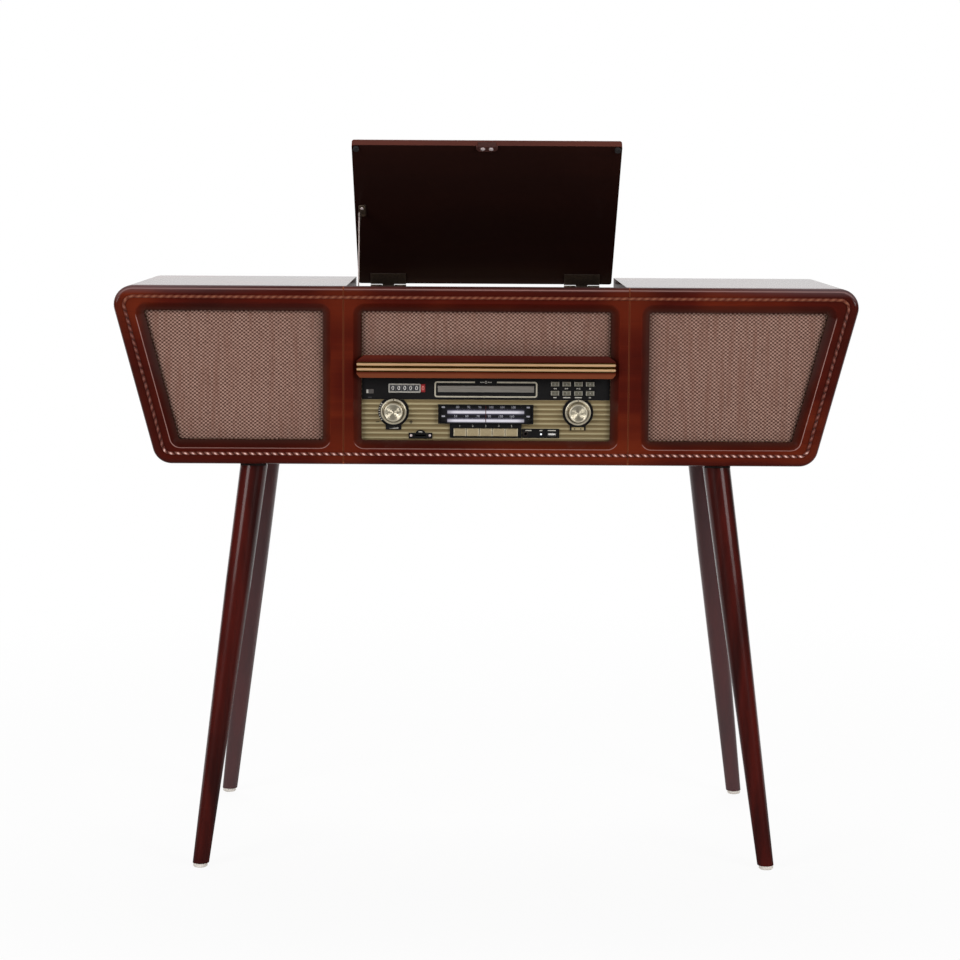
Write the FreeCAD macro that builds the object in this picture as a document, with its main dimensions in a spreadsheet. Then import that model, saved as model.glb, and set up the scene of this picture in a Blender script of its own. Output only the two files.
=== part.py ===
import FreeCAD, Part
import math
import os
import Sketcher

# A console record player on four splayed legs: two speaker boxes with leaning
# sides, a centre section with a lidded turntable well above a radio panel.
# Origin on the floor under the middle of the cabinet, +X to the right as seen
# from the front, +Y to the back, +Z up. All lengths are in millimetres.

CABINET_SIZES = {
    "leg_height": 587,
    "cabinet_height": 259,
    "cabinet_depth": 360,
    "top_half_width": 548,
    "bottom_half_width": 479,
    "corner_radius": 28,
    "front_thickness": 20,
    "wall": 12,
    "back_thickness": 4,
    "back_margin": 1.5,
    "fit_gap": 0.3,
    "edge_round": 7,
    "seam_offset": 3.5,
    "seam_width": 1.4,
    "seam_depth": 1.6,
}

WINDOW_SIZES = {
    "window_bevel": 12,
    "window_corner": 4,
    "window_top_margin": 36,
    "window_bottom_margin": 35,
    "side_window_offset": 33.5,
    "side_window_stile": 41,
    "centre_window_offset": 22.3,
    "rope_inset": 15.6,
    "rope_width": 7,
    "rope_height": 3.4,
    "rope_round": 3.2,
    "cloth_thickness": 1.2,
    "baffle_thickness": 9,
    "centre_baffle_thickness": 15,
    "centre_baffle_top_drop": 16.3,
}

LEDGE_SIZES = {
    "ledge_top_drop": 98.7,
    "ledge_height": 33,
    "ledge_nose": 9,
    "ledge_end_cover": 6.4,
    "ledge_end_cut": 10.5,
    "ledge_end_drop": 8,
    "ledge_foot_cut": 4.5,
    "ledge_foot_rise": 6,
    "ledge_lip": 3,
    "ledge_top_slope": 11,
    "ledge_bottom_slope": 8,
    "ledge_web_margin": 2,
    "upper_rail_radius": 2.4,
    "lower_rail_radius": 1.9,
    "upper_rail_drop": 14.5,
    "rail_spacing": 8.2,
}

SPEAKER_SIZES = {
    "driver_inset": 152,
    "driver_hole_radius": 52,
    "flange_radius": 62,
    "flange_thickness": 3,
    "basket_depth": 42,
    "basket_rear_radius": 34,
    "basket_wall": 2.5,
    "magnet_radius": 37,
    "magnet_thickness": 20,
    "cone_gap": 1,
    "cone_thickness": 1.2,
    "cone_mouth_radius": 50,
    "cone_throat_radius": 14,
    "cone_depth": 28,
}

BACK_SIZES = {
    "screw_head_radius": 3.4,
    "screw_head_height": 2,
    "screw_shank_radius": 1.6,
    "screw_length": 16,
    "screw_gap": 0.1,
    "vent_width": 70,
    "vent_height": 5,
    "vent_pitch": 14,
    "vent_rise": 160,
    "centre_panel_drop": 10,
    "rail_screw_drop": 34,
}

LEG_SIZES = {
    "hip_side_inset": 139.5,
    "hip_end_inset": 37.5,
    "foot_side_splay": 74.8,
    "foot_end_splay": 86.2,
    "leg_top_radius": 20,
    "leg_belly_radius": 18.6,
    "leg_foot_radius": 11.8,
    "leg_overrun": 30,
    "leg_plate_size": 38,
    "leg_plate_thickness": 4,
    "glide_height": 6,
    "glide_radius": 10.5,
    "glide_sole_radius": 9,
    "glide_edge": 1.5,
}

LID_SIZES = {
    "lid_width": 400,
    "lid_side_gap": 3.5,
    "lid_thickness": 12,
    "lid_front_gap": 2,
    "lid_back_gap": 3.5,
    "lid_corner": 4,
    "lid_edge_round": 2.5,
    "hinge_side_inset": 47,
    "hinge_width": 56,
    "hinge_drop": 3.5,
    "knuckle_radius": 3,
    "knuckle_gap": 0.3,
    "hinge_pin_radius": 1.4,
    "running_gap": 0.05,
    "leaf_thickness": 1.5,
    "lid_leaf_depth": 26,
    "cabinet_leaf_depth": 10,
    "hinge_web": 3,
    "back_rail_drop": 21,
    "back_rail_thickness": 12,
    "bumper_radius": 4.5,
    "bumper_height": 4,
    "bumper_edge": 6.5,
    "bumper_side": 6.5,
    "pull_half_width": 16,
    "pull_depth": 10,
    "pull_thickness": 3,
    "pull_lip_half_width": 13,
    "pull_lip_thickness": 1.2,
    "pull_lip_height": 9,
    "pull_corner": 7,
}

STAY_SIZES = {
    "stay_reach": 185,
    "stay_pin_drop": 10,
    "stay_pivot_lift": 10,
    "stay_arm_side": 6,
    "stay_arm_thickness": 1.8,
    "stay_arm_width": 6,
    "stay_arm_length": 176,
    "stay_arm_eye_radius": 4.5,
    "stay_pin_radius": 1.6,
    "stay_pin_head_radius": 3,
    "stay_pin_head": 1,
    "stay_side_gap": 0.5,
    "stay_ear_thickness": 1.6,
    "stay_ear_width": 11,
    "stay_flange_width": 9,
    "stay_flange_length": 24,
    "guide_length": 18,
    "guide_height": 8,
    "guide_wall": 2,
    "guide_slot": 10.4,
    "stay_notch_front": 8,
    "stay_notch_back": 12,
    "stay_notch_width": 13,
}

TURNTABLE_SIZES = {
    "deck_drop": 75,
    "deck_thickness": 12,
    "bearer_size": 12,
    "spindle_side": -34,
    "spindle_radius": 3.55,
    "bearing_radius": 4.5,
    "spindle_height": 36,
    "spindle_tip": 2,
    "spindle_flange_radius": 14,
    "spindle_flange_height": 3,
    "platter_radius": 115,
    "platter_lift": 0.3,
    "platter_height": 17,
    "platter_web": 4,
    "platter_rim": 5,
    "platter_rim_height": 14,
    "hub_radius": 12,
    "belt_ring_radius": 60,
    "belt_ring_wall": 4,
    "belt_ring_height": 14,
    "platter_edge": 1.5,
    "mat_thickness": 2,
    "mat_margin": 3,
    "mat_hole_radius": 6,
    "belt_gap": 0.3,
    "belt_thickness": 0.6,
    "belt_width": 5,
    "belt_lift": 7,
    "motor_side": -60,
    "motor_back": 60,
    "motor_radius": 19,
    "motor_height": 34,
    "pulley_radius": 6,
    "pulley_height": 10,
    "pulley_lift": 5,
    "motor_shaft_radius": 1.5,
    "motor_shaft_depth": 14,
    "pulley_hole_radius": 5,
    "speed_side_margin": 23.5,
    "speed_front_margin": 39.7,
    "speed_travel": 8,
    "speed_stem_width": 4,
    "speed_stem_length": 6,
    "speed_stem_depth": 14,
    "speed_knob_width": 9,
    "speed_knob_length": 12,
    "speed_knob_height": 7,
    "speed_knob_round": 1.5,
}

TONEARM_SIZES = {
    "arm_side_margin": 48.5,
    "arm_back_margin": 55.7,
    "arm_base_radius": 22,
    "arm_base_height": 6,
    "arm_post_radius": 9,
    "arm_post_height": 24,
    "swing_pin_radius": 3,
    "swing_pin_length": 15,
    "yoke_radius": 11,
    "yoke_height": 5,
    "yoke_ear_thickness": 3,
    "yoke_ear_gap": 12,
    "yoke_ear_width": 9,
    "arm_axis_height": 37,
    "yoke_ear_rise": 5,
    "trunnion_radius": 1.5,
    "arm_tube_radius": 3.6,
    "head_front_margin": 62.7,
    "arm_tube_back": 46,
    "arm_block_half": 5.6,
    "arm_block_length": 14,
    "arm_block_height": 9,
    "weight_radius": 12,
    "weight_front": 19,
    "weight_length": 24,
    "headshell_length": 52,
    "headshell_width": 18,
    "headshell_height": 4,
    "cartridge_width": 15,
    "cartridge_length": 24,
    "cartridge_height": 7.5,
    "cartridge_setback": 5,
    "stylus_radius": 1.2,
    "stylus_height": 2.4,
    "rest_front": 95,
    "rest_radius": 4,
    "rest_pad_width": 14,
    "rest_pad_length": 8,
    "rest_pad_height": 4,
    "rest_prong": 2.5,
    "rest_prong_height": 8,
    "cue_side_margin": 31.5,
    "cue_back_margin": 85.7,
    "cue_block_width": 6,
    "cue_block_length": 13,
    "cue_block_height": 19,
    "cue_axis_height": 13,
    "cue_pin_radius": 2,
    "cue_hub_radius": 4.5,
    "cue_hub_width": 6,
    "cue_arm_length": 30,
    "cue_arm_width": 4,
    "cue_arm_height": 3,
}

PANEL_SIZES = {
    "fascia_margin": 8.5,
    "fascia_bottom_rise": 30,
    "fascia_thickness": 2,
    "fascia_top_gap": 0.5,
    "panel_bottom_rise": 37,
    "rib_height": 0.8,
    "rib_width": 3.6,
    "rib_pitch": 7.1,
    "strip_rise": 94.3,
    "strip_margin": 0.5,
    "strip_thickness": 1.5,
    "knob_margin": 46.2,
    "knob_rise": 76.5,
    "bezel_radius": 22.5,
    "bezel_thickness": 1.6,
    "bezel_bore": 5,
    "tab_width": 23,
    "tab_height": 4,
    "knob_gap": 0.4,
    "skirt_radius": 18.7,
    "skirt_rim_radius": 17.4,
    "skirt_height": 4.2,
    "cap_foot_radius": 14.6,
    "cap_radius": 13.4,
    "cap_height": 18,
    "cap_edge": 1.2,
    "cap_dish_radius": 11.6,
    "cap_dish_depth": 0.9,
    "knob_shaft_radius": 3,
    "knob_shaft_length": 17,
    "shaft_hole_radius": 4,
    "dial_half_width": 69.5,
    "dial_rise": 59.4,
    "dial_height": 28.2,
    "dial_back": 1.2,
    "dial_rim": 1.6,
    "dial_depth": 6.4,
    "lamp_half_length": 56,
    "lamp_radius": 2.6,
    "upper_lamp_rise": 16.8,
    "lower_lamp_rise": 4.4,
    "glass_thickness": 1.2,
    "pointer_width": 1.2,
    "pointer_thickness": 0.6,
    "pointer_gap": 0.35,
    "key_pitch": 18.9,
    "key_gap": 0.9,
    "key_height": 11.2,
    "key_rise": 41.4,
    "key_front": 6.5,
    "key_depth": 9,
    "key_round": 1,
    "key_clearance": 0.3,
    "key_frame_half_width": 52.4,
    "key_frame_bottom_rise": 38.6,
    "key_frame_thickness": 2.6,
    "button_width": 11.8,
    "button_height": 6.6,
    "button_front": 2.2,
    "button_depth": 5,
    "button_round": 0.6,
    "button_clearance": 0.3,
    "button_end_margin": 28.75,
    "button_pitch": 17.05,
    "button_lower_rise": 104.6,
    "button_row_spacing": 13.4,
}

UNIT_SIZES = {
    "tray_face_half_width": 70.2,
    "tray_face_rise": 105.4,
    "tray_face_height": 9.3,
    "tray_face_thickness": 2,
    "tray_face_round": 0.6,
    "tray_half_width": 64,
    "tray_thickness": 7,
    "tray_rise": 106.4,
    "tray_length": 165,
    "tray_gap": 0.5,
    "disc_radius": 60.5,
    "disc_depth": 2,
    "disc_front": 66,
    "drive_half_width": 73,
    "drive_bottom_rise": 93,
    "drive_height": 30,
    "drive_length": 180,
    "counter_left": 142.2,
    "counter_width": 47.2,
    "counter_rise": 104.2,
    "counter_height": 13.2,
    "counter_thickness": 1.6,
    "counter_rim": 2,
    "counter_recess": 0.9,
    "counter_corner": 2,
    "port_left": 53.6,
    "port_width": 54,
    "port_rise": 38.8,
    "port_height": 13.6,
    "port_thickness": 1.6,
    "port_depth": 14,
    "usb_left": 90.2,
    "usb_width": 13.2,
    "usb_rise": 41.2,
    "usb_height": 5.2,
    "usb_wall": 1.4,
    "jack_side": 58.5,
    "jack_rise": 44.8,
    "jack_bore_radius": 1.8,
    "jack_barrel_radius": 4,
    "card_left": 112.5,
    "card_width": 34.5,
    "card_bottom_rise": 37.2,
    "card_height": 8.4,
    "card_slot_width": 16,
    "card_slot_height": 2.6,
    "card_slot_rise": 3.2,
    "card_depth": 10,
    "card_wall": 1.2,
    "board_gap": 12,
    "board_thickness": 1.6,
    "board_margin": 6,
    "board_inner": 82,
    "board_outer": 172,
    "board_bottom_rise": 44,
    "board_height": 62,
    "standoff_radius": 2.5,
    "pot_radius": 9,
    "pot_depth": 8,
    "supply_half_width": 120,
    "supply_back_margin": 16,
    "supply_length": 120,
    "supply_lift": 6,
    "transformer_width": 56,
    "transformer_length": 48,
    "transformer_height": 44,
    "socket_half_width": 62,
    "socket_rise": 30,
    "socket_height": 40,
    "socket_thickness": 1.6,
    "socket_margin": 6,
    "socket_block_depth": 14,
    "rca_spacing": 16,
    "rca_side": 34,
    "rca_radius": 4.15,
    "rca_length": 9,
    "rca_bore_radius": 1.6,
    "rca_flange_radius": 6.5,
    "rca_flange": 1.2,
    "inlet_side": -30,
    "inlet_width": 25,
    "inlet_height": 17,
    "inlet_depth": 11,
}

SIZE_TABLES = (CABINET_SIZES, WINDOW_SIZES, LEDGE_SIZES, SPEAKER_SIZES, BACK_SIZES, LEG_SIZES, LID_SIZES,
               STAY_SIZES, TURNTABLE_SIZES, TONEARM_SIZES, PANEL_SIZES, UNIT_SIZES)

# Screws of a side back panel: the edge of its outline that each stands on and
# how far along that edge it is
SIDE_SCREW_SHARES = ((0, 0.15), (0, 0.5), (0, 0.85), (1, 0.5), (2, 0.15), (2, 0.85), (3, 0.3), (3, 0.7))
CENTRE_SCREW_SHARES = (-0.8, 0, 0.8)
DRIVER_RISE_SHARE = 0.52
LEG_BELLY_SHARE = 0.7
SIDES = (-1, 1)

VENT_COUNT = 6
RIB_COUNT = 8
LID_OPEN_DEGREES = 40.3
HEADSHELL_DEGREES = 20

TOLERANCE = 1e-4

doc = FreeCAD.newDocument("RecordPlayer")
sheet = doc.addObject("Spreadsheet::Sheet", "Sizes")
nodes = []


class Size:
    """A length or ratio: its formula over the sheet's aliases, and its value."""

    def __init__(self, text, value):
        self.text = text
        self.value = value

    def _join(self, sign, other, value, swap=False):
        other = size(other)
        first, last = (other, self) if swap else (self, other)
        return Size(f"({first.text} {sign} {last.text})", value)

    def __add__(self, other):
        return self._join("+", other, self.value + size(other).value)

    def __radd__(self, other):
        return self._join("+", other, self.value + size(other).value, True)

    def __sub__(self, other):
        return self._join("-", other, self.value - size(other).value)

    def __rsub__(self, other):
        return self._join("-", other, size(other).value - self.value, True)

    def __mul__(self, other):
        return self._join("*", other, self.value * size(other).value)

    def __rmul__(self, other):
        return self._join("*", other, self.value * size(other).value, True)

    def __truediv__(self, other):
        return self._join("/", other, self.value / size(other).value)

    def __neg__(self):
        return Size(f"(0 - {self.text})", -self.value)

    def root(self):
        return Size(f"sqrt({self.text})", math.sqrt(self.value))


def size(number):
    if isinstance(number, Size):
        return number
    text = repr(float(number))
    return Size(f"({text})" if number < 0 else text, float(number))


class Sheet:
    """The driving dimensions, read by their names."""

    def __init__(self, tables):
        row = 0
        for table in tables:
            for name, value in table.items():
                row += 1
                sheet.set(f"A{row}", name)
                sheet.set(f"B{row}", str(value))
                sheet.setAlias(f"B{row}", name)
        doc.recompute()

    def __getattr__(self, name):
        return Size(f"Sizes.{name}", float(sheet.get(name)))


v = Sheet(SIZE_TABLES)


# Building blocks

def bind(item, prop, amount):
    item.setExpression(prop, size(amount).text)


def place(item, x=0, y=0, z=0):
    bind(item, ".Placement.Base.x", x)
    bind(item, ".Placement.Base.y", y)
    bind(item, ".Placement.Base.z", z)


def turn(item, axis, degrees):
    base = item.Placement.Base
    item.Placement = FreeCAD.Placement(base, FreeCAD.Rotation(FreeCAD.Vector(*axis), degrees))


def box(name, low, high):
    item = doc.addObject("Part::Box", name)
    bind(item, "Length", size(high[0]) - low[0])
    bind(item, "Width", size(high[1]) - low[1])
    bind(item, "Height", size(high[2]) - low[2])
    place(item, *low)
    return item


AXIS_TURNS = {"z": ((0, 0, 1), 0), "x": ((0, 1, 0), 90), "y": ((1, 0, 0), -90), "-y": ((1, 0, 0), 90)}


def rod(name, radius, length, start, axis="z", angle=360):
    item = doc.addObject("Part::Cylinder", name)
    bind(item, "Radius", radius)
    bind(item, "Height", length)
    item.Angle = angle
    turn(item, *AXIS_TURNS[axis])
    place(item, *start)
    return item


def half_rod(name, radius, length, start):
    """A half-round strip along X with its flat side to the back."""
    item = rod(name, radius, length, start, "x", 180)
    item.Placement.Rotation = item.Placement.Rotation.multiply(FreeCAD.Rotation(FreeCAD.Vector(0, 0, 1), 180))
    return item


def joined(name, pieces):
    item = doc.addObject("Part::MultiFuse", name)
    item.Shapes = pieces
    return item


def cut(name, base, tools):
    item = doc.addObject("Part::Cut", name)
    item.Base = base
    item.Tool = tools[0] if len(tools) == 1 else joined(name + "Tools", tools)
    return item


def group(label, pieces):
    item = doc.addObject("Part::Compound", label)
    item.Links = pieces
    return node(label, item)


def node(label, item):
    item.Label = label
    nodes.append(item)
    return item


def body(name):
    return doc.addObject("PartDesign::Body", name)


PLANE_ROLES = {"x": "YZ_Plane", "y": "XZ_Plane", "z": "XY_Plane"}


def draw(item, axis, level, outlines=(), circles=()):
    """A sketch square to an axis at a level, with closed outlines and circles."""
    sketch = item.newObject("Sketcher::SketchObject", "Sketch")
    planes = [part for part in item.Origin.OriginFeatures if part.Role == PLANE_ROLES[axis]]
    sketch.AttachmentSupport = (planes[0], [""])
    sketch.MapMode = "FlatFace"
    bind(sketch, ".AttachmentOffset.Base.z", -size(level) if axis == "y" else level)
    for outline in outlines:
        draw_outline(sketch, [(size(across), size(up)) for across, up in outline])
    for across, up, radius in circles:
        draw_circle(sketch, size(across), size(up), size(radius))
    return sketch


def fix(sketch, kind, ends, amount):
    index = sketch.addConstraint(Sketcher.Constraint(kind, *ends, amount.value))
    sketch.setExpression(f"Constraints[{index}]", amount.text)


def draw_outline(sketch, points):
    first = sketch.GeometryCount
    for start, end in zip(points, points[1:] + points[:1]):
        low = FreeCAD.Vector(start[0].value, start[1].value, 0)
        high = FreeCAD.Vector(end[0].value, end[1].value, 0)
        sketch.addGeometry(Part.LineSegment(low, high), False)
    count = len(points)
    for index in range(count):
        follower = first + (index + 1) % count
        sketch.addConstraint(Sketcher.Constraint("Coincident", first + index, 2, follower, 1))
    for index, (across, up) in enumerate(points):
        fix(sketch, "DistanceX", (-1, 1, first + index, 1), across)
        fix(sketch, "DistanceY", (-1, 1, first + index, 1), up)


def draw_circle(sketch, across, up, radius):
    middle = FreeCAD.Vector(across.value, up.value, 0)
    index = sketch.addGeometry(Part.Circle(middle, FreeCAD.Vector(0, 0, 1), radius.value), False)
    fix(sketch, "DistanceX", (-1, 1, index, 3), across)
    fix(sketch, "DistanceY", (-1, 1, index, 3), up)
    fix(sketch, "Radius", (index,), radius)


def rectangle(left, right, bottom, top):
    return [(left, bottom), (right, bottom), (right, top), (left, top)]


def pad(item, sketch, length, reverse=False, centred=False):
    feature = item.newObject("PartDesign::Pad", "Pad")
    feature.Profile = sketch
    bind(feature, "Length", length)
    feature.Reversed = reverse
    if centred:
        feature.SideType = "Symmetric"
    doc.recompute()
    return feature


def pocket(item, sketch, length, reverse=False):
    before = item.Shape.Volume
    feature = item.newObject("PartDesign::Pocket", "Pocket")
    feature.Profile = sketch
    bind(feature, "Length", length)
    feature.Reversed = reverse
    doc.recompute()
    if item.Shape.Volume > before - TOLERANCE:
        raise RuntimeError(f"a pocket of {item.Name} cuts nothing")
    return feature


def spin(item, profile):
    """A turned piece: a profile of (radius, height) points about the body's Z axis."""
    sketch = draw(item, "y", 0, [profile])
    feature = item.newObject("PartDesign::Revolution", "Turned")
    feature.Profile = sketch
    feature.ReferenceAxis = (sketch, ["V_Axis"])
    feature.Angle = 360
    return item


def soften(item, names, radius, kind="Fillet"):
    base = item.Tip
    feature = item.newObject("PartDesign::" + kind, kind)
    feature.Base = (base, names)
    bind(feature, "Radius" if kind == "Fillet" else "Size", radius)
    doc.recompute()
    return feature


def edges_along(item, axis, points):
    """Names of the straight edges along an axis that stand at the given points."""
    across, up = {"x": ("y", "z"), "y": ("x", "z"), "z": ("x", "y")}[axis]
    found = []
    for index, edge in enumerate(item.Shape.Edges, 1):
        ends = [vertex.Point for vertex in edge.Vertexes]
        if len(ends) != 2 or abs(getattr(ends[0] - ends[1], axis)) < TOLERANCE:
            continue
        for point in points:
            here = [abs(getattr(end, across) - size(point[0]).value) for end in ends]
            there = [abs(getattr(end, up) - size(point[1]).value) for end in ends]
            if max(here + there) < TOLERANCE:
                found.append(f"Edge{index}")
    return found


def face_rim(item, axis, level, holes=False):
    """Names of the edges round the flat face at a level: its outline, or its holes."""
    shape = item.Shape
    level = size(level).value
    names = []
    for face in shape.Faces:
        reach = face.BoundBox
        low, high = getattr(reach, axis.upper() + "Min"), getattr(reach, axis.upper() + "Max")
        if max(abs(low - level), abs(high - level)) > TOLERANCE:
            continue
        for wire in face.Wires:
            if wire.isSame(face.OuterWire) == holes:
                continue
            for edge in wire.Edges:
                names += [f"Edge{i}" for i, other in enumerate(shape.Edges, 1) if other.isSame(edge)]
    return names


def copies(name, source, spots):
    """Copies of a finished piece, moved by (x, y, z) steps, as one set of solids."""
    doc.recompute()
    shapes = []
    for spot in spots:
        shape = source.Shape.copy()
        shape.translate(FreeCAD.Vector(*[size(step).value for step in spot]))
        shapes.append(shape)
    item = doc.addObject("Part::Feature", name)
    item.Shape = Part.makeCompound(shapes)
    return item


# Places that several pieces share

bottom_z = v.leg_height
top_z = v.leg_height + v.cabinet_height
front_y = -v.cabinet_depth / 2
back_y = v.cabinet_depth / 2
face_back_y = front_y + v.front_thickness
panel_back_y = back_y - v.back_thickness
lean = (v.top_half_width - v.bottom_half_width) / v.cabinet_height
stretch = (1 + lean * lean).root()
well_half = v.lid_width / 2 + v.lid_side_gap
seam_x = well_half + v.seam_offset
side_window_x = well_half + v.side_window_offset
centre_window_x = well_half - v.centre_window_offset
strip_x = centre_window_x - v.strip_margin
knob_x = strip_x - v.knob_margin
hinge_x = v.lid_width / 2 - v.hinge_side_inset
hip_x = v.bottom_half_width - v.hip_side_inset
hip_y = back_y - v.hip_end_inset
foot_x = hip_x + v.foot_side_splay
foot_y = hip_y + v.foot_end_splay
lid_bottom_z = top_z - v.lid_thickness
lid_front_y = face_back_y + v.lid_front_gap
hinge_y = back_y - v.knuckle_radius
hinge_z = lid_bottom_z - v.hinge_drop
lid_back_y = hinge_y - v.lid_back_gap
rail_top_z = top_z - v.back_rail_drop
rail_front_y = panel_back_y - v.back_rail_thickness
deck_top_z = top_z - v.deck_drop
deck_bottom_z = deck_top_z - v.deck_thickness
baffle_back_y = face_back_y + v.centre_baffle_thickness
deck_front_y = baffle_back_y + v.fit_gap
deck_back_y = rail_front_y - v.fit_gap
ledge_top_z = top_z - v.ledge_top_drop
ledge_bottom_z = ledge_top_z - v.ledge_height
ledge_half = centre_window_x + v.ledge_end_cover
web_half = centre_window_x - v.fit_gap
web_top_z = ledge_top_z - v.ledge_web_margin
web_bottom_z = ledge_bottom_z + v.ledge_web_margin
rib_y = face_back_y - v.rib_height
strip_y = face_back_y - v.strip_thickness
fascia_back_y = face_back_y + v.fascia_thickness


def half_at(z):
    return v.bottom_half_width + lean * (z - bottom_z)


def cabinet_outline(inset):
    """The leaning front outline, drawn in all round by an inset."""
    low = bottom_z + inset
    high = top_z - inset
    wide = half_at(high) - stretch * inset
    narrow = half_at(low) - stretch * inset
    return [(-narrow, low), (narrow, low), (wide, high), (-wide, high)]


def box_outline(side, inset):
    """The outline of one speaker box, drawn in by an inset."""
    low = bottom_z + inset
    high = top_z - inset
    inner = side * (well_half + inset)
    lean_inset = stretch * inset
    return [(inner, high), (side * (half_at(high) - lean_inset), high),
            (side * (half_at(low) - lean_inset), low), (inner, low)]


def along(outline, edge, share):
    start, end = outline[edge], outline[(edge + 1) % len(outline)]
    return tuple(a + (b - a) * share for a, b in zip(start, end))


def side_screws(side):
    outline = box_outline(side, v.wall / 2)
    return [along(outline, edge, share) for edge, share in SIDE_SCREW_SHARES]


def centre_screws():
    levels = (bottom_z + v.wall / 2, rail_top_z - v.rail_screw_drop)
    return [(well_half * share, level) for level in levels for share in CENTRE_SCREW_SHARES]


# Cabinet

side_top_z = top_z - v.window_top_margin
window_bottom_z = bottom_z + v.window_bottom_margin


def side_window(side, inset):
    high = side_top_z - inset
    low = window_bottom_z + inset
    inner = side * (side_window_x + inset)
    reach = v.side_window_stile + inset
    outer = [side * (half_at(level) - reach) for level in (high, low)]
    return [(inner, high), (outer[0], high), (outer[1], low), (inner, low)]


def centre_window(inset, low=None):
    half = centre_window_x - inset
    return rectangle(-half, half, (window_bottom_z if low is None else low) + inset, side_top_z - inset)


def speaker_box(side, label):
    item = body(label)
    length = panel_back_y - face_back_y
    pad(item, draw(item, "y", face_back_y, [box_outline(side, 0)]), length, reverse=True)
    pocket(item, draw(item, "y", face_back_y, [box_outline(side, v.wall)]), length)
    soften(item, edges_along(item, "y", box_outline(side, v.wall)[1:3]), v.corner_radius - v.wall)
    soften(item, edges_along(item, "y", box_outline(side, 0)[1:3]), v.corner_radius)
    pilot = v.screw_shank_radius + v.screw_gap
    holes = [(x, z, pilot) for x, z in side_screws(side)]
    pocket(item, draw(item, "y", panel_back_y, circles=holes), v.screw_length, reverse=True)
    return node(label, item)


def front_frame():
    item = body("front_frame")
    pad(item, draw(item, "y", face_back_y, [cabinet_outline(0)]), v.front_thickness)
    soften(item, edges_along(item, "y", cabinet_outline(0)), v.corner_radius)
    windows = [side_window(side, 0) for side in SIDES] + [centre_window(0)]
    pocket(item, draw(item, "y", front_y, windows), v.front_thickness)
    corners = [point for window in windows for point in window]
    soften(item, edges_along(item, "y", corners), v.window_corner)
    soften(item, face_rim(item, "y", front_y, holes=True), v.window_bevel, "Chamfer")
    soften(item, face_rim(item, "y", front_y), v.edge_round)
    seams = []
    for side in SIDES:
        middle = side * seam_x
        seams.append(rectangle(middle - v.seam_width / 2, middle + v.seam_width / 2, bottom_z, top_z))
    pocket(item, draw(item, "y", front_y, seams), v.seam_depth)
    return node("front_frame", item)


def rope_moulding():
    item = body("rope_moulding")
    outer = v.rope_inset - v.rope_width / 2
    inner = v.rope_inset + v.rope_width / 2
    loops = [cabinet_outline(outer), cabinet_outline(inner)]
    pad(item, draw(item, "y", front_y, loops), v.rope_height)
    soften(item, edges_along(item, "y", loops[1]), v.corner_radius - inner)
    soften(item, edges_along(item, "y", loops[0]), v.corner_radius - outer)
    front = front_y - v.rope_height
    soften(item, face_rim(item, "y", front) + face_rim(item, "y", front, holes=True), v.rope_round)
    return node("rope_moulding", item)


def grille_cloths():
    pieces = []
    outlines = [side_window(side, v.fit_gap) for side in SIDES]
    outlines.append(centre_window(v.fit_gap, web_top_z))
    for number, outline in enumerate(outlines):
        item = body(f"Cloth{number}")
        pad(item, draw(item, "y", face_back_y, [outline]), v.cloth_thickness)
        top_only = number == len(SIDES)
        corners = outline[2:] if top_only else outline
        soften(item, edges_along(item, "y", corners), v.window_corner)
        pieces.append(item)
    return group("grille_cloths", pieces)


def driver_spot(side):
    return side * (well_half + v.driver_inset), bottom_z + v.cabinet_height * DRIVER_RISE_SHARE


def speaker_baffles():
    pieces = []
    for side in SIDES:
        item = body("Baffle")
        outline = box_outline(side, v.wall + v.fit_gap)
        pad(item, draw(item, "y", face_back_y, [outline]), v.baffle_thickness, reverse=True)
        soften(item, edges_along(item, "y", outline[1:3]), v.corner_radius - v.wall)
        hole = [(*driver_spot(side), v.driver_hole_radius)]
        pocket(item, draw(item, "y", face_back_y, circles=hole), v.baffle_thickness)
        pieces.append(item)
    half = well_half - v.fit_gap
    low = (-half, face_back_y, web_bottom_z)
    pieces.append(box("CentreBaffle", low, (half, baffle_back_y, top_z - v.centre_baffle_top_drop)))
    return group("speaker_baffles", pieces)


def speaker_drivers():
    """Drivers with their mouths to the front: heights below run to the back from the baffle."""
    flange = v.flange_thickness
    rear = flange + v.basket_depth
    magnet_rear = rear + v.magnet_thickness
    basket = [(v.cone_mouth_radius + v.cone_gap, 0), (v.flange_radius, 0), (v.flange_radius, flange),
              (v.driver_hole_radius + v.basket_wall, flange), (v.basket_rear_radius, rear),
              (v.magnet_radius, rear), (v.magnet_radius, magnet_rear), (0, magnet_rear),
              (0, rear), (v.basket_rear_radius - v.basket_wall, rear - v.basket_wall)]
    throat = v.cone_throat_radius
    cone_rear = v.cone_depth + v.cone_thickness
    cone = [(v.cone_mouth_radius, 0), (v.cone_mouth_radius, v.cone_thickness), (throat, cone_rear),
            (0, cone_rear), (0, v.cone_depth), (throat, v.cone_depth)]
    pieces = []
    for side in SIDES:
        for name, profile in (("Basket", basket), ("Cone", cone)):
            item = spin(body(name), profile)
            turn(item, *AXIS_TURNS["y"])
            x, z = driver_spot(side)
            place(item, x, face_back_y + v.baffle_thickness, z)
            pieces.append(item)
    return group("speaker_drivers", pieces)


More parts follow.
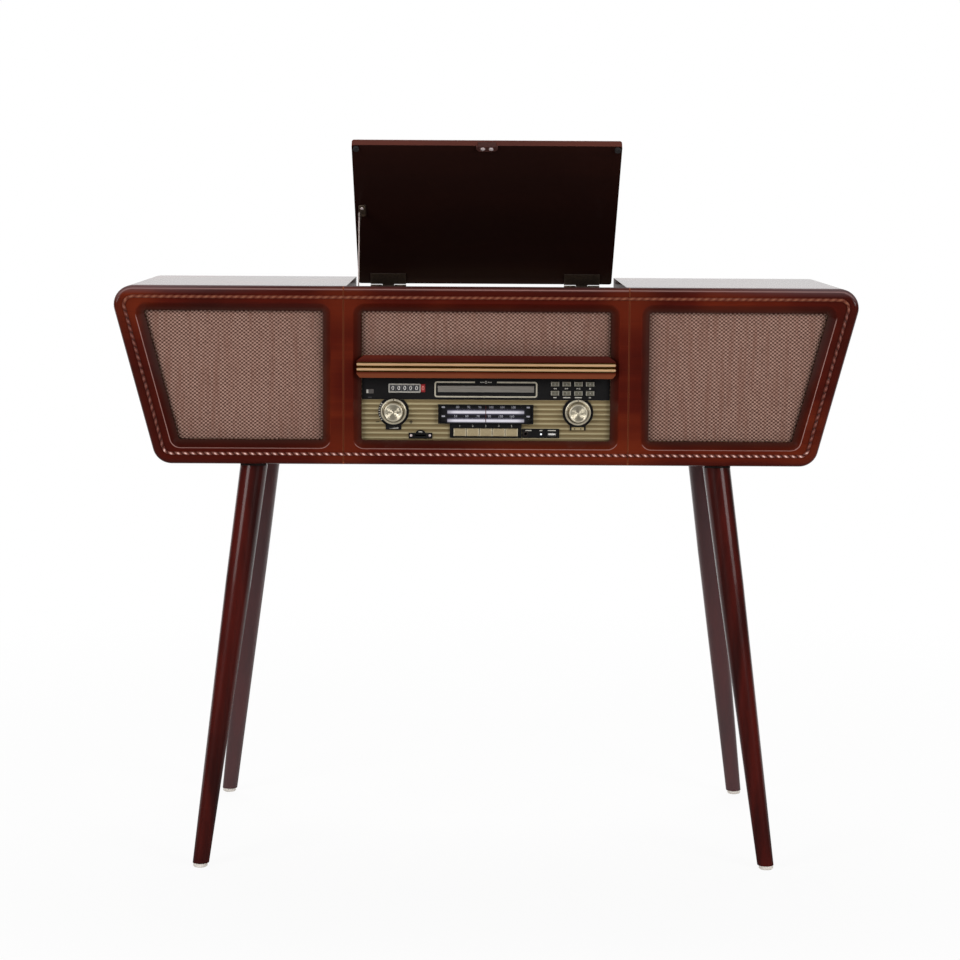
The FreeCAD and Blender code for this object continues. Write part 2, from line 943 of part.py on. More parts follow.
def centre_boards():
    half = well_half - v.fit_gap
    under = deck_bottom_z - v.bearer_size
    floor = body("Floor")
    pad(floor, draw(floor, "y", face_back_y, [rectangle(-half, half, bottom_z, bottom_z + v.wall)]),
        panel_back_y - face_back_y, reverse=True)
    rail = body("BackRail")
    pad(rail, draw(rail, "y", rail_front_y, [rectangle(-half, half, under, rail_top_z)]),
        v.back_rail_thickness, reverse=True)
    pilot = v.screw_shank_radius + v.screw_gap
    holes = [(x, z, pilot) for x, z in centre_screws()]
    for item, picked in ((floor, holes[:len(CENTRE_SCREW_SHARES)]), (rail, holes[len(CENTRE_SCREW_SHARES):])):
        depth = v.screw_length if item is floor else v.back_rail_thickness
        pocket(item, draw(item, "y", panel_back_y, circles=picked), depth, reverse=True)
    pieces = [floor, rail]
    for start in (baffle_back_y, rail_front_y - v.bearer_size):
        pieces.append(box("Bearer", (-half, start, under), (half, start + v.bearer_size, deck_bottom_z)))
    return group("centre_boards", pieces)


vent_top_z = bottom_z + v.vent_rise


def back_panels():
    pieces = []
    hole = v.screw_shank_radius + v.screw_gap
    outlines = [box_outline(side, v.back_margin) for side in SIDES]
    half = well_half - v.back_margin
    outlines.append(rectangle(-half, half, bottom_z + v.back_margin, rail_top_z - v.centre_panel_drop))
    screws = [side_screws(side) for side in SIDES] + [centre_screws()]
    middles = [driver_spot(side)[0] for side in SIDES] + [size(0)]
    for outline, spots, middle in zip(outlines, screws, middles):
        item = body("BackPanel")
        pad(item, draw(item, "y", panel_back_y, [outline]), v.back_thickness, reverse=True)
        if middle.value:
            soften(item, edges_along(item, "y", outline[1:3]), v.corner_radius - v.back_margin)
        holes = [(x, z, hole) for x, z in spots]
        vents = []
        for number in range(VENT_COUNT):
            high = vent_top_z - v.vent_pitch * number
            left = middle - v.vent_width / 2
            vents.append(rectangle(left, left + v.vent_width, high - v.vent_height, high))
        pocket(item, draw(item, "y", panel_back_y, vents, holes), v.back_thickness)
        pieces.append(item)
    socket_hole(pieces[-1])
    return group("back_panels", pieces)


socket_low_z = bottom_z + v.socket_rise
socket_high_z = socket_low_z + v.socket_height


def socket_hole(panel):
    half = v.socket_half_width - v.socket_margin
    hole = rectangle(-half, half, socket_low_z + v.socket_margin, socket_high_z - v.socket_margin)
    pocket(panel, draw(panel, "y", panel_back_y, [hole]), v.back_thickness)


def panel_screws():
    """Screws as long as the boards they stand in allow: short ones in the back rail."""
    floor_row = len(CENTRE_SCREW_SHARES)
    long_spots = side_screws(-1) + side_screws(1) + centre_screws()[:floor_row]
    rows = ((v.screw_length, long_spots), (v.back_rail_thickness, centre_screws()[floor_row:]))
    radius = v.screw_head_radius
    seat = v.back_thickness
    pieces = []
    for length, spots in rows:
        tip = v.screw_gap - length
        profile = [(0, tip), (v.screw_shank_radius, tip), (v.screw_shank_radius, seat), (radius, seat),
                   (radius, seat + v.screw_head_height / 2), (radius / 2, seat + v.screw_head_height),
                   (0, seat + v.screw_head_height)]
        pattern = spin(body("Screw"), profile)
        turn(pattern, *AXIS_TURNS["y"])
        pieces.append(copies("Screws", pattern, [(x, panel_back_y, z) for x, z in spots]))
    return group("panel_screws", pieces)


def rail_ledge():
    item = body("rail_ledge")
    lip_y = front_y - v.ledge_lip
    nose_y = front_y - v.ledge_nose
    nose = [(front_y, ledge_bottom_z), (front_y, ledge_top_z), (lip_y, ledge_top_z),
            (nose_y, ledge_top_z - v.ledge_top_slope), (nose_y, ledge_bottom_z + v.ledge_bottom_slope),
            (lip_y, ledge_bottom_z)]
    pad(item, draw(item, "x", 0, [nose]), ledge_half * 2, centred=True)
    ends = []
    for side in SIDES:
        end = side * ledge_half
        ends.append([(end, ledge_top_z), (end, ledge_top_z - v.ledge_end_drop),
                     (end - side * v.ledge_end_cut, ledge_top_z)])
        ends.append([(end, ledge_bottom_z), (end, ledge_bottom_z + v.ledge_foot_rise),
                     (end - side * v.ledge_foot_cut, ledge_bottom_z)])
    pocket(item, draw(item, "y", nose_y, ends), v.ledge_nose)
    web = rectangle(front_y, face_back_y, web_bottom_z, web_top_z)
    pad(item, draw(item, "x", 0, [web]), web_half * 2, centred=True)
    return node("rail_ledge", item)


def brass_rails():
    pieces = []
    drops = (v.upper_rail_drop, v.upper_rail_drop + v.rail_spacing)
    for radius, drop in zip((v.upper_rail_radius, v.lower_rail_radius), drops):
        start = (-ledge_half, front_y - v.ledge_nose, ledge_top_z - drop)
        pieces.append(half_rod("Rail", radius, ledge_half * 2, start))
    return group("brass_rails", pieces)


# Legs

CORNERS = [(side, end) for side in SIDES for end in SIDES]


def legs():
    pieces = []
    side_splay, end_splay = v.foot_side_splay, v.foot_end_splay
    reach = (side_splay * side_splay + end_splay * end_splay + v.leg_height * v.leg_height).root()
    profile = [(0, -v.leg_overrun), (v.leg_foot_radius, -v.leg_overrun), (v.leg_foot_radius, 0),
               (v.leg_belly_radius, reach * LEG_BELLY_SHARE), (v.leg_top_radius, reach),
               (v.leg_top_radius, reach + v.leg_overrun), (0, reach + v.leg_overrun)]
    for side, end in CORNERS:
        item = spin(body("LegTurning"), profile)
        foot = FreeCAD.Vector(side * foot_x.value, end * foot_y.value, 0)
        hip = FreeCAD.Vector(side * hip_x.value, end * hip_y.value, v.leg_height.value)
        item.Placement = FreeCAD.Placement(foot, FreeCAD.Rotation(FreeCAD.Vector(0, 0, 1), hip - foot))
        room = foot_x + v.leg_top_radius * 2
        deep = foot_y + v.leg_top_radius * 2
        slab = box("LegSlab", (-room, -deep, v.glide_height), (room, deep, bottom_z - v.leg_plate_thickness))
        trimmed = doc.addObject("Part::Common", "Leg")
        trimmed.Base = item
        trimmed.Tool = slab
        pieces.append(trimmed)
    return group("legs", pieces)


def leg_plates():
    pieces = []
    half = v.leg_plate_size / 2
    for side, end in CORNERS:
        x, y = side * hip_x, end * hip_y
        low = (x - half, y - half, bottom_z - v.leg_plate_thickness)
        pieces.append(box("LegPlate", low, (x + half, y + half, bottom_z)))
    return group("leg_plates", pieces)


def foot_glides():
    pieces = []
    profile = [(0, 0), (v.glide_sole_radius, 0), (v.glide_radius, v.glide_edge),
               (v.glide_radius, v.glide_height), (0, v.glide_height)]
    for side, end in CORNERS:
        item = spin(body("Glide"), profile)
        place(item, side * foot_x, end * foot_y)
        pieces.append(item)
    return group("foot_glides", pieces)


# Lid, drawn closed and then swung open about its hinge line

hinge_point = FreeCAD.Vector(0, hinge_y.value, hinge_z.value)
lid_swing = FreeCAD.Placement(FreeCAD.Vector(), FreeCAD.Rotation(FreeCAD.Vector(-1, 0, 0), LID_OPEN_DEGREES),
                              hinge_point)


def swung(item):
    """The piece carried round the hinge line by the lid's opening angle."""
    doc.recompute()
    item.Placement = lid_swing.multiply(item.Placement)
    return item


def lid_panel():
    item = body("lid_panel")
    half = v.lid_width / 2
    outline = rectangle(-half, half, lid_front_y, lid_back_y)
    pad(item, draw(item, "z", lid_bottom_z, [outline]), v.lid_thickness)
    soften(item, edges_along(item, "z", outline), v.lid_corner)
    soften(item, face_rim(item, "z", top_z), v.lid_edge_round)
    return node("lid_panel", swung(item))


def lid_pull():
    item = body("lid_pull")
    plate = rectangle(-v.pull_half_width, v.pull_half_width, lid_front_y, lid_front_y + v.pull_depth)
    pad(item, draw(item, "z", lid_bottom_z, [plate]), v.pull_thickness, reverse=True)
    soften(item, edges_along(item, "z", plate[2:]), v.pull_corner)
    lip = rectangle(-v.pull_lip_half_width, v.pull_lip_half_width, lid_bottom_z - v.pull_thickness,
                    lid_bottom_z + v.pull_lip_height - v.pull_thickness)
    pad(item, draw(item, "y", lid_front_y, [lip]), v.pull_lip_thickness)
    return node("lid_pull", swung(item))


def lid_bumpers():
    pieces = []
    for side in SIDES:
        x = side * (v.lid_width / 2 - v.bumper_side)
        start = (x, lid_front_y + v.bumper_edge, lid_bottom_z - v.bumper_height)
        pieces.append(rod("Bumper", v.bumper_radius, v.bumper_height, start))
    return swung(group("lid_bumpers", pieces))


knuckle_length = v.hinge_width / 3 - v.knuckle_gap


def lid_hinge(side):
    middle = side * hinge_x
    half = v.hinge_width / 2
    low_z = lid_bottom_z - v.leaf_thickness
    left = middle - knuckle_length / 2
    leaf_front = lid_back_y - v.lid_leaf_depth
    leaf = box("LidLeaf", (middle - half, leaf_front, low_z), (middle + half, lid_back_y, lid_bottom_z))
    tab = box("LidTab", (left, lid_back_y, low_z), (left + knuckle_length, hinge_y, lid_bottom_z))
    barrel = rod("LidKnuckle", v.knuckle_radius, knuckle_length, (left, hinge_y, hinge_z), "x")
    bore = rod("LidBore", v.hinge_pin_radius + v.running_gap, knuckle_length, (left, hinge_y, hinge_z), "x")
    return cut("LidHinge", joined("LidHingeBlank", [leaf, tab, barrel]), [bore])


def cabinet_hinge(side):
    middle = side * hinge_x
    half = v.hinge_width / 2
    low, high = middle - half, middle + half
    leaf_front = panel_back_y - v.cabinet_leaf_depth
    web_front = panel_back_y - v.hinge_web / 2
    leaf_top = rail_top_z + v.leaf_thickness
    pieces = [box("CabinetLeaf", (low, leaf_front, rail_top_z), (high, panel_back_y, leaf_top))]
    for left in (low, high - knuckle_length):
        right = left + knuckle_length
        pieces.append(rod("CabinetKnuckle", v.knuckle_radius, knuckle_length, (left, hinge_y, hinge_z), "x"))
        pieces.append(box("HingeWeb", (left, web_front, rail_top_z), (right, panel_back_y, hinge_z)))
    pieces.append(rod("HingePin", v.hinge_pin_radius, v.hinge_width, (low, hinge_y, hinge_z), "x"))
    return joined("CabinetHinge", pieces)


# Lid stay: a flat arm hung from a pin under the lid, sliding through a guide on
# the well's left wall. The pin and the guide are equally far from the hinge
# line, so the arm always turns half as far as the lid.

stay_outer_x = -well_half + v.stay_arm_side + v.lid_side_gap
stay_inner_x = stay_outer_x + v.stay_arm_thickness
ear_x = stay_inner_x + v.stay_side_gap
stay_pin_z = lid_bottom_z - v.stay_pin_drop
stay_pin_y = hinge_y - (v.stay_reach * v.stay_reach - (hinge_z - stay_pin_z) * (hinge_z - stay_pin_z)).root()
guide_z = deck_top_z + v.stay_pivot_lift
guide_y = hinge_y - (v.stay_reach * v.stay_reach - (hinge_z - guide_z) * (hinge_z - guide_z)).root()


def stay_bracket():
    flange_right = ear_x + v.stay_flange_width
    half = v.stay_flange_length / 2
    ear_half = v.stay_ear_width / 2
    flange_z = lid_bottom_z - v.leaf_thickness
    flange = box("StayFlange", (ear_x, stay_pin_y - half, flange_z),
                 (flange_right, stay_pin_y + half, lid_bottom_z))
    ear = box("StayEar", (ear_x, stay_pin_y - ear_half, stay_pin_z - ear_half),
              (ear_x + v.stay_ear_thickness, stay_pin_y + ear_half, lid_bottom_z))
    head_x = stay_outer_x - v.stay_side_gap - v.stay_pin_head
    pin = rod("StayPin", v.stay_pin_radius, ear_x - head_x, (head_x, stay_pin_y, stay_pin_z), "x")
    head = rod("StayPinHead", v.stay_pin_head_radius, v.stay_pin_head, (head_x, stay_pin_y, stay_pin_z), "x")
    return joined("StayBracket", [flange, ear, pin, head])


def stay_guide():
    low_z, high_z = guide_z - v.guide_height / 2, guide_z + v.guide_height / 2
    block = box("Guide", (-well_half, guide_y - v.guide_length / 2, low_z),
                (ear_x + v.guide_wall, guide_y + v.guide_length / 2, high_z))
    slot = box("GuideSlot", (stay_outer_x - v.stay_side_gap, guide_y - v.guide_slot / 2, low_z),
               (ear_x, guide_y + v.guide_slot / 2, high_z))
    return cut("StayGuide", block, [slot])


def stay_arm():
    """Drawn hanging straight down from its pin, then leaned to point at the guide."""
    half = v.stay_arm_width / 2
    strip = box("StayStrip", (stay_outer_x, -half, -v.stay_arm_length), (stay_inner_x, half, 0))
    eye = rod("StayEye", v.stay_arm_eye_radius, v.stay_arm_thickness, (stay_outer_x, 0, 0), "x")
    bore = rod("StayBore", v.stay_pin_radius + v.running_gap, v.stay_arm_thickness, (stay_outer_x, 0, 0), "x")
    item = cut("stay_arm", joined("StayBlank", [strip, eye]), [bore])
    doc.recompute()
    pin = lid_swing.multVec(FreeCAD.Vector(0, stay_pin_y.value, stay_pin_z.value))
    guide = FreeCAD.Vector(0, guide_y.value, guide_z.value)
    item.Placement = FreeCAD.Placement(pin, FreeCAD.Rotation(FreeCAD.Vector(0, 0, -1), guide - pin))
    return node("stay_arm", item)


def fittings():
    group("lid_fittings", [swung(piece) for piece in [lid_hinge(side) for side in SIDES] + [stay_bracket()]])
    group("cabinet_fittings", [cabinet_hinge(side) for side in SIDES] + [stay_guide()])


# Turntable

spindle_x = v.spindle_side
spindle_y = (deck_front_y + deck_back_y) / 2
motor_x = spindle_x + v.motor_side
motor_y = spindle_y + v.motor_back
platter_z = deck_top_z + v.spindle_flange_height + v.platter_lift
platter_top_z = platter_z + v.platter_height
pulley_z = deck_top_z + v.pulley_lift
arm_x = well_half - v.arm_side_margin
arm_y = deck_back_y - v.arm_back_margin
arm_reach = arm_y - deck_front_y - v.head_front_margin
speed_x = well_half - v.speed_side_margin
speed_y = deck_front_y + v.speed_front_margin
cue_x = well_half - v.cue_side_margin
cue_y = deck_back_y - v.cue_back_margin


def deck():
    item = body("deck")
    half = well_half - v.fit_gap
    outline = rectangle(-half, half, deck_front_y, deck_back_y)
    pad(item, draw(item, "z", deck_bottom_z, [outline]), v.deck_thickness)
    stem_half = v.speed_stem_width / 2 + v.fit_gap
    slot_half = v.speed_stem_length / 2 + v.speed_travel + v.fit_gap
    slot = rectangle(speed_x - stem_half, speed_x + stem_half, speed_y - slot_half, speed_y + slot_half)
    notch_right = v.stay_notch_width - well_half
    notch = rectangle(-half, notch_right, guide_y - v.stay_notch_front, guide_y + v.stay_notch_back)
    holes = [(motor_x, motor_y, v.pulley_hole_radius)]
    pocket(item, draw(item, "z", deck_top_z, [slot, notch], holes), v.deck_thickness)
    return node("deck", item)


def spindle():
    top = v.spindle_height
    shoulder = v.spindle_flange_height + v.platter_lift + v.platter_height
    profile = [(0, 0), (v.spindle_flange_radius, 0), (v.spindle_flange_radius, v.spindle_flange_height),
               (v.bearing_radius, v.spindle_flange_height), (v.bearing_radius, shoulder),
               (v.spindle_radius, shoulder), (v.spindle_radius, top - v.spindle_tip),
               (v.spindle_radius / 2, top), (0, top)]
    item = spin(body("spindle"), profile)
    place(item, spindle_x, spindle_y, deck_top_z)
    return node("spindle", item)


def platter():
    bore = v.bearing_radius + v.running_gap
    web = v.platter_height - v.platter_web
    ring_low = v.platter_height - v.belt_ring_height
    rim_low = v.platter_height - v.platter_rim_height
    ring_in = v.belt_ring_radius - v.belt_ring_wall
    rim_in = v.platter_radius - v.platter_rim
    profile = [(bore, 0), (v.hub_radius, 0), (v.hub_radius, web), (ring_in, web), (ring_in, ring_low),
               (v.belt_ring_radius, ring_low), (v.belt_ring_radius, web), (rim_in, web), (rim_in, rim_low),
               (v.platter_radius, rim_low), (v.platter_radius, v.platter_height - v.platter_edge),
               (v.platter_radius - v.platter_edge, v.platter_height), (bore, v.platter_height)]
    item = spin(body("platter"), profile)
    place(item, spindle_x, spindle_y, platter_z)
    node("platter", item)
    reach = v.platter_radius - v.mat_margin
    mat = spin(body("platter_mat"), [(v.mat_hole_radius, 0), (reach, 0), (reach, v.mat_thickness),
                                     (v.mat_hole_radius, v.mat_thickness)])
    place(mat, spindle_x, spindle_y, platter_top_z)
    return node("platter_mat", mat)


def motor():
    can = rod("MotorCan", v.motor_radius, v.motor_height, (motor_x, motor_y, deck_bottom_z - v.motor_height))
    bore_start = (motor_x, motor_y, deck_bottom_z - v.motor_shaft_depth)
    bore = rod("MotorBore", v.motor_shaft_radius + v.running_gap, v.motor_shaft_depth, bore_start)
    node("motor", cut("motor", can, [bore]))
    shaft_low = deck_bottom_z - v.motor_shaft_depth + v.fit_gap
    shaft = rod("PulleyShaft", v.motor_shaft_radius, pulley_z - shaft_low, (motor_x, motor_y, shaft_low))
    wheel = rod("PulleyWheel", v.pulley_radius, v.pulley_height, (motor_x, motor_y, pulley_z))
    return node("motor_pulley", joined("motor_pulley", [shaft, wheel]))


def belt_outline(clear):
    """The belt's loop round the platter's ring and the pulley, at a clearance from both."""
    big = (v.belt_ring_radius + clear).value
    small = (v.pulley_radius + clear).value
    start = FreeCAD.Vector(spindle_x.value, spindle_y.value, 0)
    end = FreeCAD.Vector(motor_x.value, motor_y.value, 0)
    run = end - start
    heading = math.atan2(run.y, run.x)
    spread = math.acos((big - small) / run.Length)

    def rim(middle, radius, angle):
        return middle + FreeCAD.Vector(radius * math.cos(angle), radius * math.sin(angle), 0)

    left, right = heading + spread, heading - spread
    big_left, big_right = rim(start, big, left), rim(start, big, right)
    small_left, small_right = rim(end, small, left), rim(end, small, right)
    curves = [Part.LineSegment(big_left, small_left),
              Part.Arc(small_left, rim(end, small, heading), small_right),
              Part.LineSegment(small_right, big_right),
              Part.Arc(big_right, rim(start, big, heading + math.pi), big_left)]
    return Part.Wire([curve.toShape() for curve in curves])


def drive_belt():
    item = doc.addObject("Part::Feature", "drive_belt")
    loop = Part.Face([belt_outline(v.belt_gap + v.belt_thickness), belt_outline(v.belt_gap)])
    loop.validate()
    item.Shape = loop.extrude(FreeCAD.Vector(0, 0, v.belt_width.value))
    item.Placement.Base = FreeCAD.Vector(0, 0, (deck_top_z + v.belt_lift).value)
    return node("drive_belt", item)


def speed_switch():
    item = body("speed_switch")
    knob_z = deck_top_z + v.fit_gap

    def outline(width, length):
        return rectangle(speed_x - width / 2, speed_x + width / 2, speed_y - length / 2, speed_y + length / 2)

    knob_outline = outline(v.speed_knob_width, v.speed_knob_length)
    pad(item, draw(item, "z", knob_z, [knob_outline]), v.speed_knob_height)
    soften(item, face_rim(item, "z", knob_z + v.speed_knob_height), v.speed_knob_round)
    stem = outline(v.speed_stem_width, v.speed_stem_length)
    pad(item, draw(item, "z", knob_z, [stem]), v.speed_stem_depth, reverse=True)
    return node("speed_switch", item)


# Tonearm

arm_axis_z = deck_top_z + v.arm_axis_height


def tonearm_base():
    disc = rod("ArmBase", v.arm_base_radius, v.arm_base_height, (arm_x, arm_y, deck_top_z))
    post = rod("ArmPost", v.arm_post_radius, v.arm_post_height, (arm_x, arm_y, deck_top_z))
    bore_z = deck_top_z + v.arm_post_height - v.swing_pin_length
    bore = rod("SwingBore", v.swing_pin_radius + v.running_gap, v.swing_pin_length, (arm_x, arm_y, bore_z))
    base = cut("Base", joined("BaseBlank", [disc, post]), [bore])
    rest_y = arm_y - v.rest_front
    pad_top = arm_axis_z - v.arm_tube_radius - v.fit_gap
    pad_low = pad_top - v.rest_pad_height
    half = v.rest_pad_width / 2
    deep = v.rest_pad_length / 2
    rest = joined("ArmRest", [
        rod("RestPost", v.rest_radius, pad_low - deck_top_z, (arm_x, rest_y, deck_top_z)),
        box("RestPad", (arm_x - half, rest_y - deep, pad_low), (arm_x + half, rest_y + deep, pad_top)),
        box("RestProng", (arm_x + half - v.rest_prong, rest_y - deep, pad_low),
            (arm_x + half, rest_y + deep, pad_top + v.rest_prong_height)),
    ])
    block = box("CueBlock", (cue_x, cue_y - v.cue_block_length / 2, deck_top_z),
                (cue_x + v.cue_block_width, cue_y + v.cue_block_length / 2, deck_top_z + v.cue_block_height))
    cue_bore = rod("CueBore", v.cue_pin_radius + v.running_gap, v.cue_block_width,
                   (cue_x, cue_y, deck_top_z + v.cue_axis_height), "x")
    return group("tonearm_base", [base, rest, cut("CueBracket", block, [cue_bore])])


def tonearm_yoke():
    low = deck_top_z + v.arm_post_height + v.fit_gap
    pin_low = low - v.swing_pin_length
    high = arm_axis_z + v.yoke_ear_rise
    pieces = [rod("YokeDisc", v.yoke_radius, v.yoke_height, (arm_x, arm_y, low)),
              rod("SwingPin", v.swing_pin_radius, low - pin_low, (arm_x, arm_y, pin_low))]
    holes = []
    half = v.yoke_ear_width / 2
    for side in SIDES:
        inner = arm_x + side * v.yoke_ear_gap / 2
        outer = inner + side * v.yoke_ear_thickness
        left, right = (inner, outer) if side > 0 else (outer, inner)
        pieces.append(box("YokeEar", (left, arm_y - half, low), (right, arm_y + half, high)))
        holes.append(rod("TrunnionBore", v.trunnion_radius + v.running_gap, v.yoke_ear_thickness,
                         (left, arm_y, arm_axis_z), "x"))
    return node("tonearm_yoke", cut("tonearm_yoke", joined("YokeBlank", pieces), holes))


def tonearm():
    tube_start = (arm_x, arm_y - arm_reach, arm_axis_z)
    tube = rod("ArmTube", v.arm_tube_radius, arm_reach + v.arm_tube_back, tube_start, "y")
    half = v.arm_block_length / 2
    tall = v.arm_block_height / 2
    block = box("ArmBlock", (arm_x - v.arm_block_half, arm_y - half, arm_axis_z - tall),
                (arm_x + v.arm_block_half, arm_y + half, arm_axis_z + tall))
    span = v.yoke_ear_gap / 2 + v.yoke_ear_thickness
    trunnion = rod("Trunnion", v.trunnion_radius, span * 2, (arm_x - span, arm_y, arm_axis_z), "x")
    weight_start = (arm_x, arm_y + v.weight_front, arm_axis_z)
    weight = rod("Counterweight", v.weight_radius, v.weight_length, weight_start, "y")
    shell = headshell_piece("Headshell", v.headshell_width, (0, v.headshell_length), (0, v.headshell_height))
    node("tonearm", joined("tonearm", [tube, block, trunnion, weight, shell]))
    nose = v.headshell_length - v.cartridge_setback
    body_low = -v.cartridge_height
    case_reach = (nose - v.cartridge_length, nose)
    case = headshell_piece("CartridgeCase", v.cartridge_width, case_reach, (body_low, 0))
    tip = doc.addObject("Part::Cone", "Stylus")
    bind(tip, "Radius1", 0)
    bind(tip, "Radius2", v.stylus_radius)
    bind(tip, "Height", v.stylus_height)
    doc.recompute()
    spot = FreeCAD.Vector(0, (v.cartridge_setback - nose).value, (body_low - v.stylus_height).value)
    tip.Placement = headshell_frame().multiply(FreeCAD.Placement(spot, FreeCAD.Rotation()))
    return node("cartridge", joined("cartridge", [case, tip]))


def headshell_frame():
    """The headshell's own frame: its root at the end of the tube, its nose along -Y, turned inwards."""
    root = FreeCAD.Vector(arm_x.value, (arm_y - arm_reach + v.cartridge_setback).value,
                          (arm_axis_z - v.headshell_height / 2).value)
    return FreeCAD.Placement(root, FreeCAD.Rotation(FreeCAD.Vector(0, 0, 1), -HEADSHELL_DEGREES))


def headshell_piece(name, width, reach, rise):
    item = box(name, (0, 0, 0), (width, size(reach[1]) - reach[0], size(rise[1]) - rise[0]))
    doc.recompute()
    corner = FreeCAD.Vector(-size(width).value / 2, -size(reach[1]).value, size(rise[0]).value)
    for prop in (".Placement.Base.x", ".Placement.Base.y", ".Placement.Base.z"):
        item.setExpression(prop, None)
    item.Placement = headshell_frame().multiply(FreeCAD.Placement(corner, FreeCAD.Rotation()))
    return item


def cue_lever():
    z = deck_top_z + v.cue_axis_height
    hub_x = cue_x + v.cue_block_width + v.fit_gap
    middle = hub_x + v.cue_hub_width / 2
    half = v.cue_arm_width / 2
    pieces = [rod("CuePin", v.cue_pin_radius, v.cue_block_width + v.fit_gap, (cue_x, cue_y, z), "x"),
              rod("CueHub", v.cue_hub_radius, v.cue_hub_width, (hub_x, cue_y, z), "x"),
              box("CueArm", (middle - half, cue_y - v.cue_arm_length, z),
                  (middle + half, cue_y, z + v.cue_arm_height))]
    return node("cue_lever", joined("cue_lever", pieces))


# Radio panel

fascia_low_z = bottom_z + v.fascia_bottom_rise
fascia_high_z = web_bottom_z - v.fascia_top_gap
panel_low_z = bottom_z + v.panel_bottom_rise
strip_low_z = bottom_z + v.strip_rise
strip_high_z = ledge_bottom_z - v.fascia_top_gap
knob_z = bottom_z + v.knob_rise
dial_low_z = bottom_z + v.dial_rise
dial_back_y = rib_y - v.dial_back
key_low_z = bottom_z + v.key_rise
tray_low_z = bottom_z + v.tray_rise
bezel_y = rib_y - v.bezel_thickness

KEY_STEPS = (-2, -1, 0, 1, 2)
BUTTON_COLUMNS = 4
BUTTON_ROWS = 2
BUTTON_STEPS = [(column, row) for row in range(BUTTON_ROWS) for column in range(BUTTON_COLUMNS)]


def key_outline(step, clear):
    half = (v.key_pitch - v.key_gap) / 2 + clear
    middle = v.key_pitch * step
    return rectangle(middle - half, middle + half, key_low_z - clear, key_low_z + v.key_height + clear)


def key_window():
    half = v.key_pitch * len(KEY_STEPS) / 2 - v.key_gap / 2 + v.key_clearance
    return rectangle(-half, half, key_low_z - v.key_clearance, key_low_z + v.key_height + v.key_clearance)


def button_outline(step, clear):
    column, row = step
    middle = strip_x - v.button_end_margin - v.button_pitch * (BUTTON_COLUMNS - 1 - column)
    low = bottom_z + v.button_lower_rise + v.button_row_spacing * row - v.button_height / 2
    half = v.button_width / 2 + clear
    return rectangle(middle - half, middle + half, low - clear, low + v.button_height + clear)


def button_windows():
    return [button_outline(step, v.button_clearance) for step in BUTTON_STEPS]


def tray_window():
    half = v.tray_half_width + v.tray_gap
    return rectangle(-half, half, tray_low_z - v.tray_gap, tray_low_z + v.tray_thickness + v.tray_gap)


def usb_outline(grow):
    low = bottom_z + v.usb_rise
    right = v.usb_left + v.usb_width
    return rectangle(v.usb_left - grow, right + grow, low - grow, low + v.usb_height + grow)


def card_slot(grow):
    middle = -v.card_left + v.card_width / 2
    half = v.card_slot_width / 2 + grow
    low = bottom_z + v.card_bottom_rise + v.card_slot_rise
    return rectangle(middle - half, middle + half, low - grow, low + v.card_slot_height + grow)


def fascia_plate():
    item = body("fascia_plate")
    half = well_half - v.fascia_margin
    pad(item, draw(item, "y", face_back_y, [rectangle(-half, half, fascia_low_z, fascia_high_z)]),
        v.fascia_thickness, reverse=True)
    rib = rectangle(-strip_x, strip_x, panel_low_z, panel_low_z + v.rib_width)
    first = pad(item, draw(item, "y", face_back_y, [rib]), v.rib_height)
    pattern = item.newObject("PartDesign::LinearPattern", "Ribs")
    pattern.Originals = [first]
    pattern.Direction = (first.Profile[0], ["V_Axis"])
    bind(pattern, "Length", v.rib_pitch * (RIB_COUNT - 1))
    pattern.Occurrences = RIB_COUNT
    item.Tip = pattern
    doc.recompute()
    windows = [key_window(), tray_window()]
    windows += [usb_outline(v.usb_wall + v.fit_gap), card_slot(v.card_wall + v.fit_gap)]
    holes = [(side * knob_x, knob_z, v.shaft_hole_radius) for side in SIDES]
    holes.append((v.jack_side, bottom_z + v.jack_rise, v.jack_barrel_radius + v.fit_gap))
    sketch = draw(item, "y", rib_y, windows + button_windows(), holes)
    pocket(item, sketch, v.fascia_thickness + v.rib_height)
    return node("fascia_plate", item)


